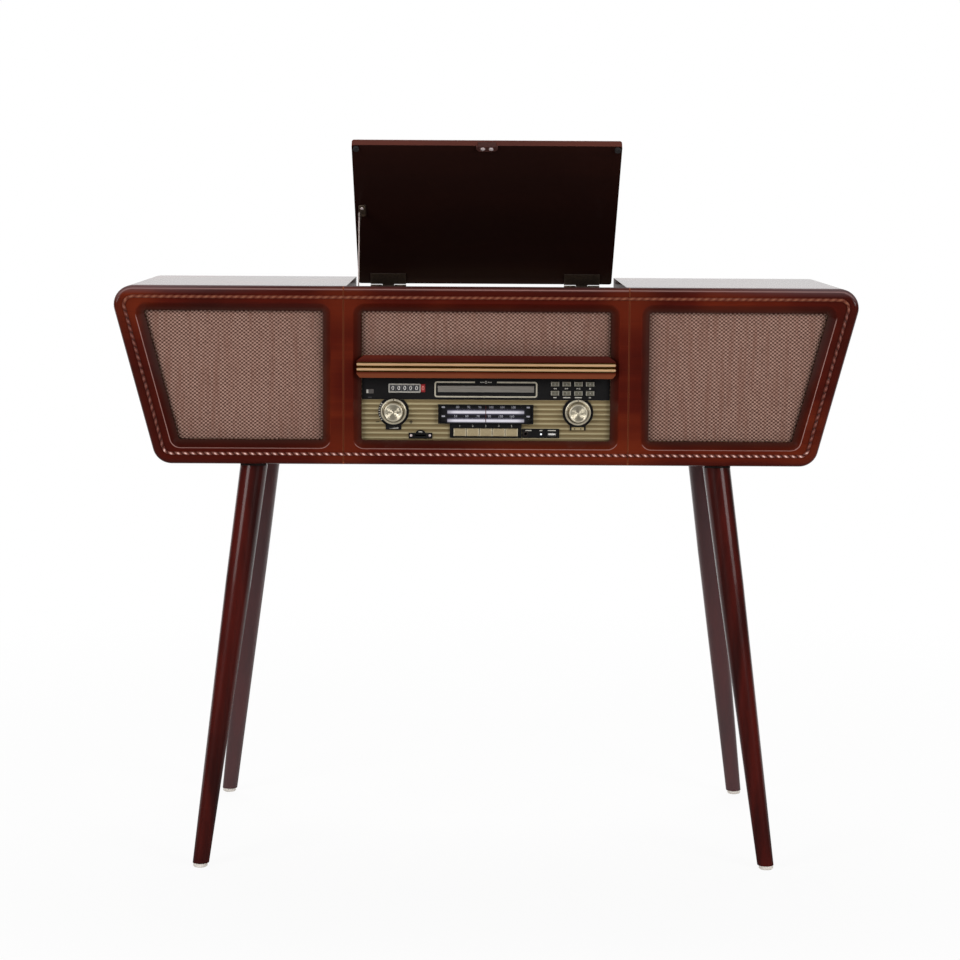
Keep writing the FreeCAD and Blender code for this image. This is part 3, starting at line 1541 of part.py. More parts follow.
def panel_bezels():
    strip = body("Strip")
    outline = rectangle(-strip_x, strip_x, strip_low_z, strip_high_z)
    pad(strip, draw(strip, "y", face_back_y, [outline]), v.strip_thickness)
    pocket(strip, draw(strip, "y", strip_y, [tray_window()] + button_windows()), v.strip_thickness)
    dial = body("DialFrame")
    half = v.dial_half_width
    dial_high = dial_low_z + v.dial_height
    pad(dial, draw(dial, "y", rib_y, [rectangle(-half, half, dial_low_z, dial_high)]), v.dial_depth)
    rim = v.dial_rim
    well = rectangle(rim - half, half - rim, dial_low_z + rim, dial_high - rim)
    pocket(dial, draw(dial, "y", rib_y - v.dial_depth, [well]), v.dial_depth - v.dial_back)
    keys = body("KeyFrame")
    key_half = v.key_frame_half_width
    frame_low = bottom_z + v.key_frame_bottom_rise
    key_outline_points = rectangle(-key_half, key_half, frame_low, dial_low_z - v.fit_gap)
    pad(keys, draw(keys, "y", rib_y, [key_outline_points]), v.key_frame_thickness)
    pocket(keys, draw(keys, "y", rib_y - v.key_frame_thickness, [key_window()]), v.key_frame_thickness)
    pieces = [strip, dial, keys]
    for side in SIDES:
        x = side * knob_x
        disc = rod("Bezel", v.bezel_radius, v.bezel_thickness, (x, rib_y, knob_z), "-y")
        bore = rod("BezelBore", v.bezel_bore, v.bezel_thickness, (x, rib_y, knob_z), "-y")
        trim = box("BezelTrim", (x - v.bezel_radius, bezel_y, strip_low_z - v.fit_gap),
                   (x + v.bezel_radius, rib_y, strip_high_z))
        low = knob_z - v.bezel_radius - v.tab_height
        half = v.tab_width / 2
        tab = box("BezelTab", (x - half, bezel_y, low), (x + half, rib_y, low + v.tab_height * 2))
        pieces.append(cut("KnobBezel", joined("BezelBlank", [disc, tab]), [bore, trim]))
    return group("panel_bezels", pieces)


def knob(side, label):
    """Heights run forwards from the bezel's face."""
    skirt = v.knob_gap + v.skirt_height
    front = v.knob_gap + v.cap_height
    back = -v.knob_shaft_length
    profile = [(0, back), (v.knob_shaft_radius, back), (v.knob_shaft_radius, v.knob_gap),
               (v.skirt_radius, v.knob_gap), (v.skirt_radius, skirt - v.cap_edge),
               (v.skirt_rim_radius, skirt), (v.cap_foot_radius, skirt), (v.cap_radius, front - v.cap_edge),
               (v.cap_radius - v.cap_edge, front), (v.cap_dish_radius, front), (0, front - v.cap_dish_depth)]
    item = spin(body(label), profile)
    turn(item, *AXIS_TURNS["-y"])
    place(item, side * knob_x, bezel_y, knob_z)
    return node(label, item)


def dial_parts():
    lamps = []
    for rise in (v.upper_lamp_rise, v.lower_lamp_rise):
        start = (-v.lamp_half_length, dial_back_y, dial_low_z + rise)
        lamps.append(half_rod("Lamp", v.lamp_radius, v.lamp_half_length * 2, start))
    group("dial_lamps", lamps)
    half = v.dial_half_width - v.dial_rim - v.running_gap
    low = dial_low_z + v.dial_rim + v.running_gap
    high = dial_low_z + v.dial_height - v.dial_rim - v.running_gap
    glass_front = rib_y - v.dial_depth
    glass_back = glass_front + v.glass_thickness
    node("dial_glass", box("dial_glass", (-half, glass_front, low), (half, glass_back, high)))
    pointer_back = dial_back_y - v.lamp_radius - v.pointer_gap
    pointer_front = pointer_back - v.pointer_thickness
    reach = v.pointer_width / 2
    node("dial_pointer", box("dial_pointer", (-reach, pointer_front, low + v.pointer_gap),
                             (reach, pointer_back, high - v.pointer_gap)))


def keys():
    for number, step in enumerate(KEY_STEPS, 1):
        item = body(f"mode_key_{number}")
        front = rib_y - v.key_front
        pad(item, draw(item, "y", front, [key_outline(step, 0)]), v.key_front + v.key_depth, reverse=True)
        soften(item, face_rim(item, "y", front), v.key_round)
        node(f"mode_key_{number}", item)


def buttons():
    for number, step in enumerate(BUTTON_STEPS, 1):
        item = body(f"preset_button_{number}")
        front = strip_y - v.button_front
        length = v.button_front + v.button_depth
        pad(item, draw(item, "y", front, [button_outline(step, 0)]), length, reverse=True)
        soften(item, face_rim(item, "y", front), v.button_round)
        node(f"preset_button_{number}", item)


# Disc drive, counter, sockets and boards

def cd_tray():
    item = body("cd_tray")
    plate_back = strip_y - v.fit_gap
    low = bottom_z + v.tray_face_rise
    face = rectangle(-v.tray_face_half_width, v.tray_face_half_width, low, low + v.tray_face_height)
    pad(item, draw(item, "y", plate_back, [face]), v.tray_face_thickness)
    soften(item, face_rim(item, "y", plate_back - v.tray_face_thickness), v.tray_face_round)
    half = v.tray_half_width
    bed = rectangle(-half, half, tray_low_z, tray_low_z + v.tray_thickness)
    pad(item, draw(item, "y", plate_back, [bed]), v.tray_length, reverse=True)
    disc = [(0, fascia_back_y + v.disc_front, v.disc_radius)]
    pocket(item, draw(item, "z", tray_low_z + v.tray_thickness, circles=disc), v.disc_depth)
    node("cd_tray", item)
    drive = body("cd_drive")
    low = bottom_z + v.drive_bottom_rise
    case = rectangle(-v.drive_half_width, v.drive_half_width, low, low + v.drive_height)
    pad(drive, draw(drive, "y", fascia_back_y, [case]), v.drive_length, reverse=True)
    pocket(drive, draw(drive, "y", fascia_back_y, [tray_window()]), v.tray_length + v.tray_gap)
    return node("cd_drive", drive)


def counter():
    item = body("counter")
    left = -v.counter_left
    right = left + v.counter_width
    low = bottom_z + v.counter_rise
    high = low + v.counter_height
    outline = rectangle(left, right, low, high)
    pad(item, draw(item, "y", strip_y, [outline]), v.counter_thickness)
    soften(item, edges_along(item, "y", outline), v.counter_corner)
    rim = v.counter_rim
    well = rectangle(left + rim, right - rim, low + rim, high - rim)
    pocket(item, draw(item, "y", strip_y - v.counter_thickness, [well]), v.counter_recess)
    return node("counter", item)


def front_ports():
    plate = body("PortPlate")
    right = v.port_left + v.port_width
    low = bottom_z + v.port_rise
    outline = rectangle(v.port_left, right, low, low + v.port_height)
    pad(plate, draw(plate, "y", rib_y, [outline]), v.port_thickness)
    jack = [(v.jack_side, bottom_z + v.jack_rise, v.jack_barrel_radius)]
    pad(plate, draw(plate, "y", rib_y, circles=jack), v.port_depth, reverse=True)
    bore = [(v.jack_side, bottom_z + v.jack_rise, v.jack_bore_radius)]
    front = rib_y - v.port_thickness
    pocket(plate, draw(plate, "y", front, circles=bore), v.port_depth)
    pocket(plate, draw(plate, "y", front, [usb_outline(v.usb_wall + v.fit_gap)]), v.port_thickness)
    shell = body("UsbShell")
    shell_length = v.port_thickness + v.port_depth
    pad(shell, draw(shell, "y", front, [usb_outline(v.usb_wall)]), shell_length, reverse=True)
    pocket(shell, draw(shell, "y", front, [usb_outline(0)]), v.port_depth)
    card = body("CardPlate")
    left = -v.card_left
    low = bottom_z + v.card_bottom_rise
    outline = rectangle(left, left + v.card_width, low, low + v.card_height)
    pad(card, draw(card, "y", rib_y, [outline]), v.port_thickness)
    pad(card, draw(card, "y", rib_y, [card_slot(v.card_wall)]), v.card_depth, reverse=True)
    pocket(card, draw(card, "y", front, [card_slot(0)]), v.card_depth)
    return group("front_ports", [plate, shell, card])


def circuit_boards():
    board_y = fascia_back_y + v.board_gap
    board_back = board_y + v.board_thickness
    low = bottom_z + v.board_bottom_rise
    high = low + v.board_height
    pieces = []
    for side in SIDES:
        left, right = sorted((side * v.board_inner, side * v.board_outer), key=lambda place: place.value)
        x = side * knob_x
        pot_y = board_y - v.pot_depth
        shaft = v.knob_shaft_radius + v.running_gap
        parts = [box("ControlBoard", (left, board_y, low), (right, board_back, high)),
                 rod("Pot", v.pot_radius, v.pot_depth, (x, pot_y, knob_z), "y")]
        for corner in (left + v.board_margin, right - v.board_margin):
            post = (corner, fascia_back_y, high - v.board_margin)
            parts.append(rod("Standoff", v.standoff_radius, v.board_gap, post, "y"))
        bore = rod("PotBore", shaft, v.pot_depth + v.board_thickness, (x, pot_y, knob_z), "y")
        pieces.append(cut("Control", joined("ControlBlank", parts), [bore]))
    board_z = bottom_z + v.wall + v.supply_lift
    end = panel_back_y - v.supply_back_margin
    start = end - v.supply_length
    half = v.supply_half_width
    board_top = board_z + v.board_thickness
    parts = [box("MainBoard", (-half, start, board_z), (half, end, board_top))]
    for x in (v.board_margin - half, half - v.board_margin):
        for y in (start + v.board_margin, end - v.board_margin):
            parts.append(rod("FloorStandoff", v.standoff_radius, v.supply_lift, (x, y, bottom_z + v.wall)))
    block_y = start + (v.supply_length - v.transformer_length) / 2
    parts.append(box("Transformer", (v.board_margin * 2 - half, block_y, board_z),
                     (v.board_margin * 2 - half + v.transformer_width, block_y + v.transformer_length,
                      board_top + v.transformer_height)))
    pieces.append(joined("Supply", parts))
    return group("circuit_boards", pieces)


def rear_sockets():
    item = body("rear_sockets")
    half = v.socket_half_width
    middle = (socket_low_z + socket_high_z) / 2
    pad(item, draw(item, "y", back_y, [rectangle(-half, half, socket_low_z, socket_high_z)]),
        v.socket_thickness, reverse=True)
    inner = half - v.socket_margin - v.fit_gap
    low = socket_low_z + v.socket_margin + v.fit_gap
    block = rectangle(-inner, inner, low, socket_high_z - v.socket_margin - v.fit_gap)
    pad(item, draw(item, "y", back_y, [block]), v.socket_block_depth)
    face = back_y + v.socket_thickness
    pin_length = v.rca_flange + v.rca_length

    def circles(radius):
        return [(v.rca_side + side * v.rca_spacing / 2, middle, radius) for side in SIDES]

    pad(item, draw(item, "y", face, circles=circles(v.rca_flange_radius)), v.rca_flange, reverse=True)
    pad(item, draw(item, "y", face, circles=circles(v.rca_radius)), pin_length, reverse=True)
    tip = face + pin_length
    pocket(item, draw(item, "y", tip, circles=circles(v.rca_bore_radius)), v.rca_length, reverse=True)
    wide, tall = v.inlet_width / 2, v.inlet_height / 2
    inlet = rectangle(v.inlet_side - wide, v.inlet_side + wide, middle - tall, middle + tall)
    pocket(item, draw(item, "y", face, [inlet]), v.inlet_depth, reverse=True)
    return node("rear_sockets", item)


# Assembly

speaker_box(-1, "left_speaker_box")
speaker_box(1, "right_speaker_box")
front_frame()
rope_moulding()
grille_cloths()
speaker_baffles()
speaker_drivers()
centre_boards()
back_panels()
panel_screws()
rail_ledge()
brass_rails()
legs()
leg_plates()
foot_glides()
lid_panel()
lid_pull()
lid_bumpers()
fittings()
stay_arm()
deck()
spindle()
platter()
motor()
drive_belt()
speed_switch()
tonearm_base()
tonearm_yoke()
tonearm()
cue_lever()
fascia_plate()
panel_bezels()
knob(-1, "volume_knob")
knob(1, "tuning_knob")
dial_parts()
keys()
buttons()
cd_tray()
counter()
front_ports()
circuit_boards()
rear_sockets()
doc.recompute()

for item in doc.Objects:
    if "Invalid" in item.State or "Error" in item.State:
        raise RuntimeError(f"{item.Label} failed: {item.State}")
for item in nodes:
    if item.Shape.isNull() or not item.Shape.isValid():
        raise RuntimeError(f"{item.Label} has no valid shape")

os.makedirs("parts", exist_ok=True)
for item in nodes:
    item.Shape.exportStep(f"parts/{item.Label}.step")
    print(item.Label, len(item.Shape.Solids), round(item.Shape.Volume))
print(len(nodes), "nodes")
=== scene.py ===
"""Looks of the console record player: finishes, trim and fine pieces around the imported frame.

Metres in the frame of the CAD model: X to the right, Y to the back, Z up, the floor at Z 0.
"""

import math

import bmesh
import bpy
from mathutils import Matrix, Vector

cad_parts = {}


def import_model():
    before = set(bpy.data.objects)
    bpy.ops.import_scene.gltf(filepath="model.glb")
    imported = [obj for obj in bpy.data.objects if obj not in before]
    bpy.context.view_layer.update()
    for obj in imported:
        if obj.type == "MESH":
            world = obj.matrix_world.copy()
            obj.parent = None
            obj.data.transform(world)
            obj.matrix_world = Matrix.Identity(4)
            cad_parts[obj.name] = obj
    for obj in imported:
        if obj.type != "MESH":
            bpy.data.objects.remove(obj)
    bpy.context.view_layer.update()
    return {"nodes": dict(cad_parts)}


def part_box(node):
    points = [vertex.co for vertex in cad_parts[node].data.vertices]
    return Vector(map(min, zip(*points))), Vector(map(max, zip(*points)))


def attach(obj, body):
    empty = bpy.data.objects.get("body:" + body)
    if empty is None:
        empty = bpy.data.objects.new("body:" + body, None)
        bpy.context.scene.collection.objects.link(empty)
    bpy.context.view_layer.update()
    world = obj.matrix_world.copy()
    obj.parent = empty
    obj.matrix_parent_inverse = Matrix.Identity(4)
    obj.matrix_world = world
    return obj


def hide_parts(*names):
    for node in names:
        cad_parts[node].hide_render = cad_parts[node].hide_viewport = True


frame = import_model()
nodes = frame["nodes"]

MM = 0.001
TURN = 2 * math.pi
WHITE = (1, 1, 1, 1)

# Camera, fitted to the photograph's edges
FOCAL_PIXELS = 2539.7
IMAGE_PIXELS = 960
SENSOR_WIDTH = 36.0
CAMERA_PLACE = (-0.0266, -3.8546, 1.0112)
CAMERA_PITCH = 0.12066
CAMERA_YAW = -0.00508
CAMERA_ROLL = 0.00595
CLIP_END = 50

# Cabinet front: a trapezoid with leaning sides, wider at the top
FRONT_LOW, FRONT_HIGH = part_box("front_frame")
CABINET_LOW = FRONT_LOW.z
CABINET_HIGH = FRONT_HIGH.z
CABINET_MIDDLE = (CABINET_LOW + CABINET_HIGH) / 2
FRONT_Y = FRONT_LOW.y
FOOT_HALF_WIDTH = 479 * MM
SIDE_LEAN = 0.26641
CABINET_CORNER = 28 * MM
SEAM_X = 207 * MM

# Rope moulding
ROPE_INSET = 15.6 * MM
ROPE_WIDTH = 4.8 * MM
ROPE_HEIGHT = 3.4 * MM
ROPE_PITCH = 10.8 * MM
ROPE_LEAN = 0.55
ROPE_CHANGE = 30 * MM
ROPE_GROOVE = 0.3
ROPE_WAIST = 0.14
ROPE_CREST_POWER = 0.75
# How narrow the painted highlight on each lobe's crown is
ROPE_CROWN_POWER = 8
ROPE_CORNER_STEPS = 24
ROPE_STEPS = 14
ROPE_PROFILE_STEPS = 10

# Grille cloth
CLOTH_LOW, CLOTH_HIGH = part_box("grille_cloths")
CLOTH_INNER_X = 237.3 * MM
CLOTH_SIDE_BORDER = 41.3 * MM
CLOTH_CENTRE_HALF = 180.9 * MM
CLOTH_CORNER = 3.7 * MM
CLOTH_ROLL = 0.5 * MM
CLOTH_TUCK = 3 * MM
WARP_PITCH = 3.13 * MM
WEFT_PITCH = 2.6 * MM
WEFT_SKEW = 0.04

# Lid, open at rest
LID_OPEN = math.radians(40.3)
LID_AXIS = Vector((0, 177 * MM, 830.5 * MM))

# Radio panel
RAIL_BEAD_Z = (734.3 * MM, 727.1 * MM)
STRIP_FRONT_Y = -161.5 * MM
BEZEL_FRONT_Y = -162.4 * MM
RIB_FRONT_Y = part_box("fascia_plate")[0].y
RIB_PITCH = 7.1 * MM
RIB_START_Z = 624 * MM
PORT_FRONT_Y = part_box("front_ports")[0].y
KNOB_SPREAD = 134.5 * MM
KNOB_Z = 663.5 * MM
KNOB_RING_PITCH = 1.3 * MM
DIAL_LAMP_Z = (663.2 * MM, 650.8 * MM)
PRINT_DEPTH = 0.15 * MM

# Mesh making
MERGE_DISTANCE = 0.0005 * MM
WELD_DISTANCE = 0.002 * MM
SHARP_ANGLE = 35
# Least share of a move that counts at a sharp corner, so that its point doesn't run far inward
MITRE_LIMIT = 0.3


# Shader values and materials
class Value:
    """One output of a node. Arithmetic on it adds Math nodes beside it."""

    def __init__(self, paint, socket):
        self.paint = paint
        self.socket = socket

    def math(self, operation, *others):
        return self.paint.math(operation, self, *others)

    def __add__(self, other):
        return self.math("ADD", other)

    __radd__ = __add__

    def __sub__(self, other):
        return self.math("SUBTRACT", other)

    def __rsub__(self, other):
        return self.paint.math("SUBTRACT", other, self)

    def __mul__(self, other):
        return self.math("MULTIPLY", other)

    __rmul__ = __mul__

    def __truediv__(self, other):
        return self.math("DIVIDE", other)

    def __pow__(self, other):
        return self.math("POWER", other)

    def __abs__(self):
        return self.math("ABSOLUTE")

    def most(self, other):
        return self.math("MAXIMUM", other)

    def least(self, other):
        return self.math("MINIMUM", other)

    def sine(self):
        return self.math("SINE")

    def step(self, low, high):
        """Rises smoothly from 0 at low to 1 at high."""
        limits = {"Value": self, "From Min": low, "From Max": high}
        return self.paint.node("MapRange", {"interpolation_type": "SMOOTHSTEP"}, limits)


def tone(colour):
    """Screen values from 0 to 255 as a linear colour; a node's colour stays as it is."""
    if isinstance(colour, Value):
        return colour
    linear = []
    for level in colour:
        share = level / 255
        linear.append(share / 12.92 if share <= 0.04045 else ((share + 0.055) / 1.055) ** 2.4)
    return (*linear, 1.0)


class Paint:
    """A node tree being mixed: adds nodes and joins their sockets."""

    def __init__(self, owner):
        owner.use_nodes = True
        self.owner = owner
        self.tree = owner.node_tree
        self.coordinates = {}

    def node(self, kind, settings=None, sockets=None, output=0):
        made = self.tree.nodes.new("ShaderNode" + kind)
        for name, setting in (settings or {}).items():
            setattr(made, name, setting)
        for name, value in (sockets or {}).items():
            self.join(made.inputs[name], value)
        return Value(self, made.outputs[output])

    def join(self, socket, value):
        if isinstance(value, Value):
            self.tree.links.new(value.socket, socket)
        else:
            socket.default_value = value

    def math(self, operation, *terms):
        return self.node("Math", {"operation": operation}, dict(enumerate(terms)))

    def place(self, kind="Object"):
        """Where a point lies in the frame, in metres, or another texture coordinate."""
        if kind not in self.coordinates:
            self.coordinates[kind] = self.node("TexCoord", output=kind)
        return self.coordinates[kind]

    def axes(self, kind="Object"):
        vector = self.place(kind)
        return [self.node("SeparateXYZ", None, {0: vector}, axis) for axis in "XYZ"]

    def facing(self, *direction):
        """1 where the surface faces that way, 0 across it, below 0 behind."""
        sockets = {0: self.place("Normal"), 1: direction}
        return self.node("VectorMath", {"operation": "DOT_PRODUCT"}, sockets, "Value")

    def ray(self, kind):
        return self.node("LightPath", output=f"Is {kind} Ray")

    def noise(self, scale=1.0, detail=2.0, roughness=0.5, stretch=None):
        """Noise over the place in the frame, which stretch scales along each axis."""
        vector = self.place()
        if stretch:
            vector = self.node("VectorMath", {"operation": "MULTIPLY"}, {0: vector, 1: stretch})
        sockets = {"Vector": vector, "Scale": scale, "Detail": detail, "Roughness": roughness}
        return self.node("TexNoise", None, sockets)

    def mix(self, factor, first, second):
        """Blends two colours, each a node's or in screen values."""
        return self.node("Mix", {"data_type": "RGBA"}, {0: factor, 6: tone(first), 7: tone(second)}, 2)

    def layers(self, colour, *coats):
        """A colour under coats, each how much of it shows and its colour."""
        for factor, coat in coats:
            colour = self.mix(factor, colour, coat)
        return colour

    def ramp(self, factor, *stops):
        """A colour that changes evenly between stops, each a position and a colour."""
        made = self.node("ValToRGB", None, {0: factor})
        elements = made.socket.node.color_ramp.elements
        while len(elements) < len(stops):
            elements.new(1.0)
        for element, (position, colour) in zip(elements, stops):
            element.position = position
            element.color = tone(colour)
        return made

    def bump(self, height, distance, strength=1.0):
        return self.node("Bump", None, {"Height": height, "Distance": distance, "Strength": strength})

    def glow(self, strength):
        return self.node("Emission", None, {"Color": WHITE, "Strength": strength})

    def surface(self, colour, roughness, relief=None, depth=0.0, **sockets):
        """Sets colour, roughness, bumps of some depth and other sockets, which are named in lower case."""
        sockets.update(base_color=tone(colour), roughness=roughness)
        if relief:
            sockets["normal"] = self.bump(relief, depth)
        shader = self.tree.nodes["Principled BSDF"]
        names = {socket.name.lower().replace(" ", "_"): socket for socket in shader.inputs}
        for name, value in sockets.items():
            self.join(names[name], value)
        return Value(self, shader.outputs["BSDF"])

    def blend(self, factor, first, second):
        """Makes the material a mix of two shaders."""
        mixed = self.node("MixShader", None, {0: factor, 1: first, 2: second})
        self.join(self.tree.nodes["Material Output"].inputs["Surface"], mixed)


FINISHES = {}


def new_paint(name):
    """The paint of a new finish, which is kept under its name."""
    FINISHES[name] = bpy.data.materials.new(name)
    return Paint(FINISHES[name])


# Wood
WOOD_DARK = (58, 14, 8)
WOOD_RED = (77, 19, 9)
WOOD_LIGHT = (113, 41, 18)
# Dark for the pores, for painted shade in the front's recesses, for the darker outer edge of the front and
# for the up- and down-facing faces of the boxes
WOOD_PORES_AND_SHADE = (46, 16, 11)
# Paler orange for the painted highlight along the seams, and for the wood below the ledge's beads
WOOD_PALE_TONE = (150, 82, 52)
# A painted highlight along the window edges
WOOD_EDGE_HIGHLIGHT = (176, 134, 126)
# Painted shade deep in the window recesses and on the sides of the well
WOOD_PAINTED_SHADE = (58, 37, 31)
# A painted greyish reflection on the top of the front
WOOD_SHEEN_GREY = (122, 102, 104)
# Painted shade on the lid's underside
LID_UNDER_SHADE = (34, 19, 16)
LID_EDGE = (92, 58, 52)
LEG_DARK = (46, 15, 13)
LEG_RED = (82, 22, 16)
# A painted grey haze of reflection on the rear legs
LEG_HAZE_GREY = (88, 69, 71)
GRAIN_ALONG = 1.6
GRAIN_ACROSS = 34.0
PORES_ALONG = 22.0
PORES_ACROSS = 900.0


def side_x(z):
    """Half the cabinet's width at a height."""
    return FOOT_HALF_WIDTH + SIDE_LEAN * (z - CABINET_LOW)


def grain(paint, along):
    """Broad figure and fine pores of wood that was cut along one axis."""
    broad = [GRAIN_ALONG if axis == along else GRAIN_ACROSS for axis in "xyz"]
    fine = [PORES_ALONG if axis == along else PORES_ACROSS for axis in "xyz"]
    figure = paint.noise(detail=4.0, roughness=0.55, stretch=broad)
    return figure, paint.noise(stretch=fine).step(0.56, 0.72)


def lacquered(paint, colour, pores, clouds, coat=1.0, blur=0.1):
    """A clear coat over stained wood, a little uneven; blur is the coat's roughness."""
    height = pores * -1 + clouds * 0.4
    paint.surface(
        colour, 0.5 + clouds * 0.1, normal=paint.bump(height, 0.02 * MM, 0.5),
        coat_weight=coat, coat_roughness=blur, coat_ior=1.33, specular_ior_level=0.03)


def cabinet_wood(name, stain, blur=0.1):
    """Red mahogany; stain makes its colour darker or paler, partly as real stain and partly as painted light
    and shade, and says how much clear coat there is.
    """
    paint = new_paint(name)
    figure, pores = grain(paint, "x")
    end_figure, end_pores = grain(paint, "y")
    side = abs(paint.facing(1, 0, 0)).step(0.5, 0.8)
    figure = figure + side * (end_figure - figure)
    pores = pores + side * (end_pores - pores)
    clouds = paint.noise(5.5)
    shade = figure * 0.45 + clouds * 0.75 - 0.1
    colour = paint.ramp(shade, (0.32, WOOD_DARK), (0.5, WOOD_RED), (0.72, WOOD_LIGHT))
    colour, coat = stain(paint, paint.mix(pores * 0.35, colour, WOOD_PORES_AND_SHADE))
    lacquered(paint, colour, pores, clouds, coat, blur)


def worn_edges(paint):
    """A painted highlight line, high along the window edges that face up and along the leaning sides of the
    outer windows.
    """
    x, y, z = paint.axes()
    depth = y - FRONT_Y
    arris = depth.step(0.02 * MM, 0.2 * MM) * (1 - depth.step(0.8 * MM, 1.4 * MM))
    upward = paint.facing(0, 0, 1).step(0.2, 0.4)
    inward = (paint.facing(-1, 0, 0) * x).step(0.05, 0.12)
    straight = 1 - (z - CABINET_HIGH).step(-48 * MM, -40 * MM)
    outside = abs(x).step(0.3, 0.34)
    return arris * (upward * 0.6).most(inward * straight * outside * 0.85)


def front_stain(paint, colour):
    """Paler near the seams and darker round the edge, with painted shade in the recesses, a painted
    highlight along the seams and the window edges, and a painted greyish reflection on the top.
    """
    x, y, z = paint.axes()
    depth, height = y - FRONT_Y, z - CABINET_HIGH
    from_seam = abs(abs(x) - SEAM_X)
    from_middle = abs(z - CABINET_MIDDLE)
    pale = (1 - from_seam.step(10 * MM, 60 * MM)) * from_middle.step(40 * MM, 105 * MM)
    # Painted shade in the recesses behind the front face, and deeper painted shade further back in the
    # window recesses
    recess = depth.step(0.3 * MM, 3 * MM)
    outer = (abs(x) - side_x(z)).step(-40 * MM, 5 * MM)
    rim = from_middle.step(110 * MM, 136 * MM)
    # A painted highlight along each seam's groove
    seam = 1 - from_seam.step(0.5 * MM, 1.5 * MM)
    # A painted greyish reflection on the top, strongest near the corners, and a painted sheen along the top
    # edge near the corners
    top = paint.facing(0, 0, 1).step(0.05, 0.35) * height.step(-40 * MM, -10 * MM)
    corner = abs(x).step(0.25, 0.53)
    sheen = height.step(-14 * MM, -4 * MM) * corner * 0.25
    colour = paint.layers(
        colour, (pale * 0.45, WOOD_LIGHT), ((recess * 0.4).most(outer.most(rim) * 0.38), WOOD_PORES_AND_SHADE),
        (depth.step(3 * MM, 12 * MM) * 0.6, WOOD_PAINTED_SHADE), (worn_edges(paint), WOOD_EDGE_HIGHLIGHT),
        (seam * 0.7, WOOD_PALE_TONE), (sheen.most(top * (0.08 + corner * 0.42)), WOOD_SHEEN_GREY))
    return colour, 1 - top * 0.95


def box_stain(paint, colour):
    """The sides of the well are painted darker as shade, with little clear coat; faces that point up or down
    are a little darker.
    """
    # Painted shade on the sides of the well, which face inward
    inside = (paint.facing(-1, 0, 0) * paint.axes()[0]).step(0.1, 0.15)
    # Faces that point up or down are a little darker
    level = abs(paint.facing(0, 0, 1)) * 0.1
    return paint.layers(colour, (level, WOOD_PORES_AND_SHADE), (inside * 0.8, WOOD_PAINTED_SHADE)), 1 - inside * 0.8


def ledge_stain(paint, colour):
    """Paler below the beads."""
    _, _, z = paint.axes()
    low = 1 - (z - RAIL_BEAD_Z[1]).step(-8 * MM, -3 * MM)
    return paint.mix(low * 0.6, colour, WOOD_PALE_TONE), 1.0


def lid_stain(paint, colour):
    """The underside is painted nearly black as shade, with less clear coat, and the front edge is dull
    brown.
    """
    # Painted shade on the underside
    under = paint.facing(0, -math.sin(LID_OPEN), -math.cos(LID_OPEN)).step(0.6, 0.9)
    edge = paint.facing(0, -math.cos(LID_OPEN), math.sin(LID_OPEN)).step(0.6, 0.9)
    return paint.layers(colour, (edge * 0.7, LID_EDGE), (under * 0.96, LID_UNDER_SHADE)), 1 - under * 0.7


def leg_wood():
    """Dark red lacquered wood, with a painted grey haze of reflection on the front of the rear legs."""
    paint = new_paint("leg_wood")
    figure, pores = grain(paint, "z")
    # A painted grey haze of reflection on the front faces of the rear legs
    hazed_front = paint.axes()[1].step(-0.02, 0.06) * paint.facing(0, -1, 0).step(-0.4, 0.1)
    colour = paint.layers(
        LEG_DARK, (figure.step(0.3, 0.7), LEG_RED), (pores * 0.4, LEG_DARK), (hazed_front * 0.6, LEG_HAZE_GREY))
    lacquered(paint, colour, pores, paint.noise(6.0), blur=0.18)


def bare_board():
    paint = new_paint("board")
    figure, pores = grain(paint, "x")
    colour = paint.layers(
        (150, 112, 72), (figure.step(0.3, 0.7), (188, 150, 104)), (pores * 0.5, (110, 78, 48)))
    paint.surface(colour, 0.75, pores, -0.05 * MM)


def hardboard():
    paint = new_paint("hardboard")
    fibre = paint.noise(420, 3.0)
    clouds = paint.noise(9).step(0.4, 0.8) * 0.35
    colour = paint.layers((70, 45, 31), (fibre.step(0.35, 0.7), (104, 72, 50)), (clouds, (58, 38, 28)))
    paint.surface(colour, 0.8, fibre, 0.1 * MM)


def rope_stain():
    """Tan stain, darker in the grooves, partly as stain and partly as painted shade, and dull up the sides;
    a painted highlight on each lobe's crown is nearly white along the bottom, and the rope is paler at the
    bottom and the top as painted light.
    """
    paint = new_paint("rope")
    _, _, z = paint.axes()
    crest, crown = [
        paint.node("Attribute", {"attribute_name": name}, output="Fac") for name in ("crest", "crown")]
    fibre = paint.noise(700)
    # Paler at the bottom and the top, as painted light
    low = 1 - (z - CABINET_LOW).step(16 * MM, 32 * MM)
    high = (z - CABINET_HIGH).step(-40 * MM, -17 * MM)
    # The grooves are darker, partly as stain and partly as painted shade
    groove = paint.mix(high, (66, 24, 17), (104, 48, 33))
    body = paint.layers((104, 52, 42), (low, (138, 82, 70)), (high, (124, 68, 50)))
    # A painted highlight on each lobe's crown, nearly white at the bottom
    bright = paint.layers((128, 78, 68), (low, (240, 200, 190)), (high, (141, 88, 66)))
    colour = paint.layers(
        groove, (crest.step(0.35, 0.85), body), (crown.step(0.3, 0.8), bright),
        (fibre.step(0.5, 0.8) * 0.3, (104, 56, 38)))
    paint.surface(
        colour, 0.5, fibre, 0.05 * MM, coat_weight=0.6, coat_roughness=0.15, coat_ior=1.33,
        specular_ior_level=0.1)


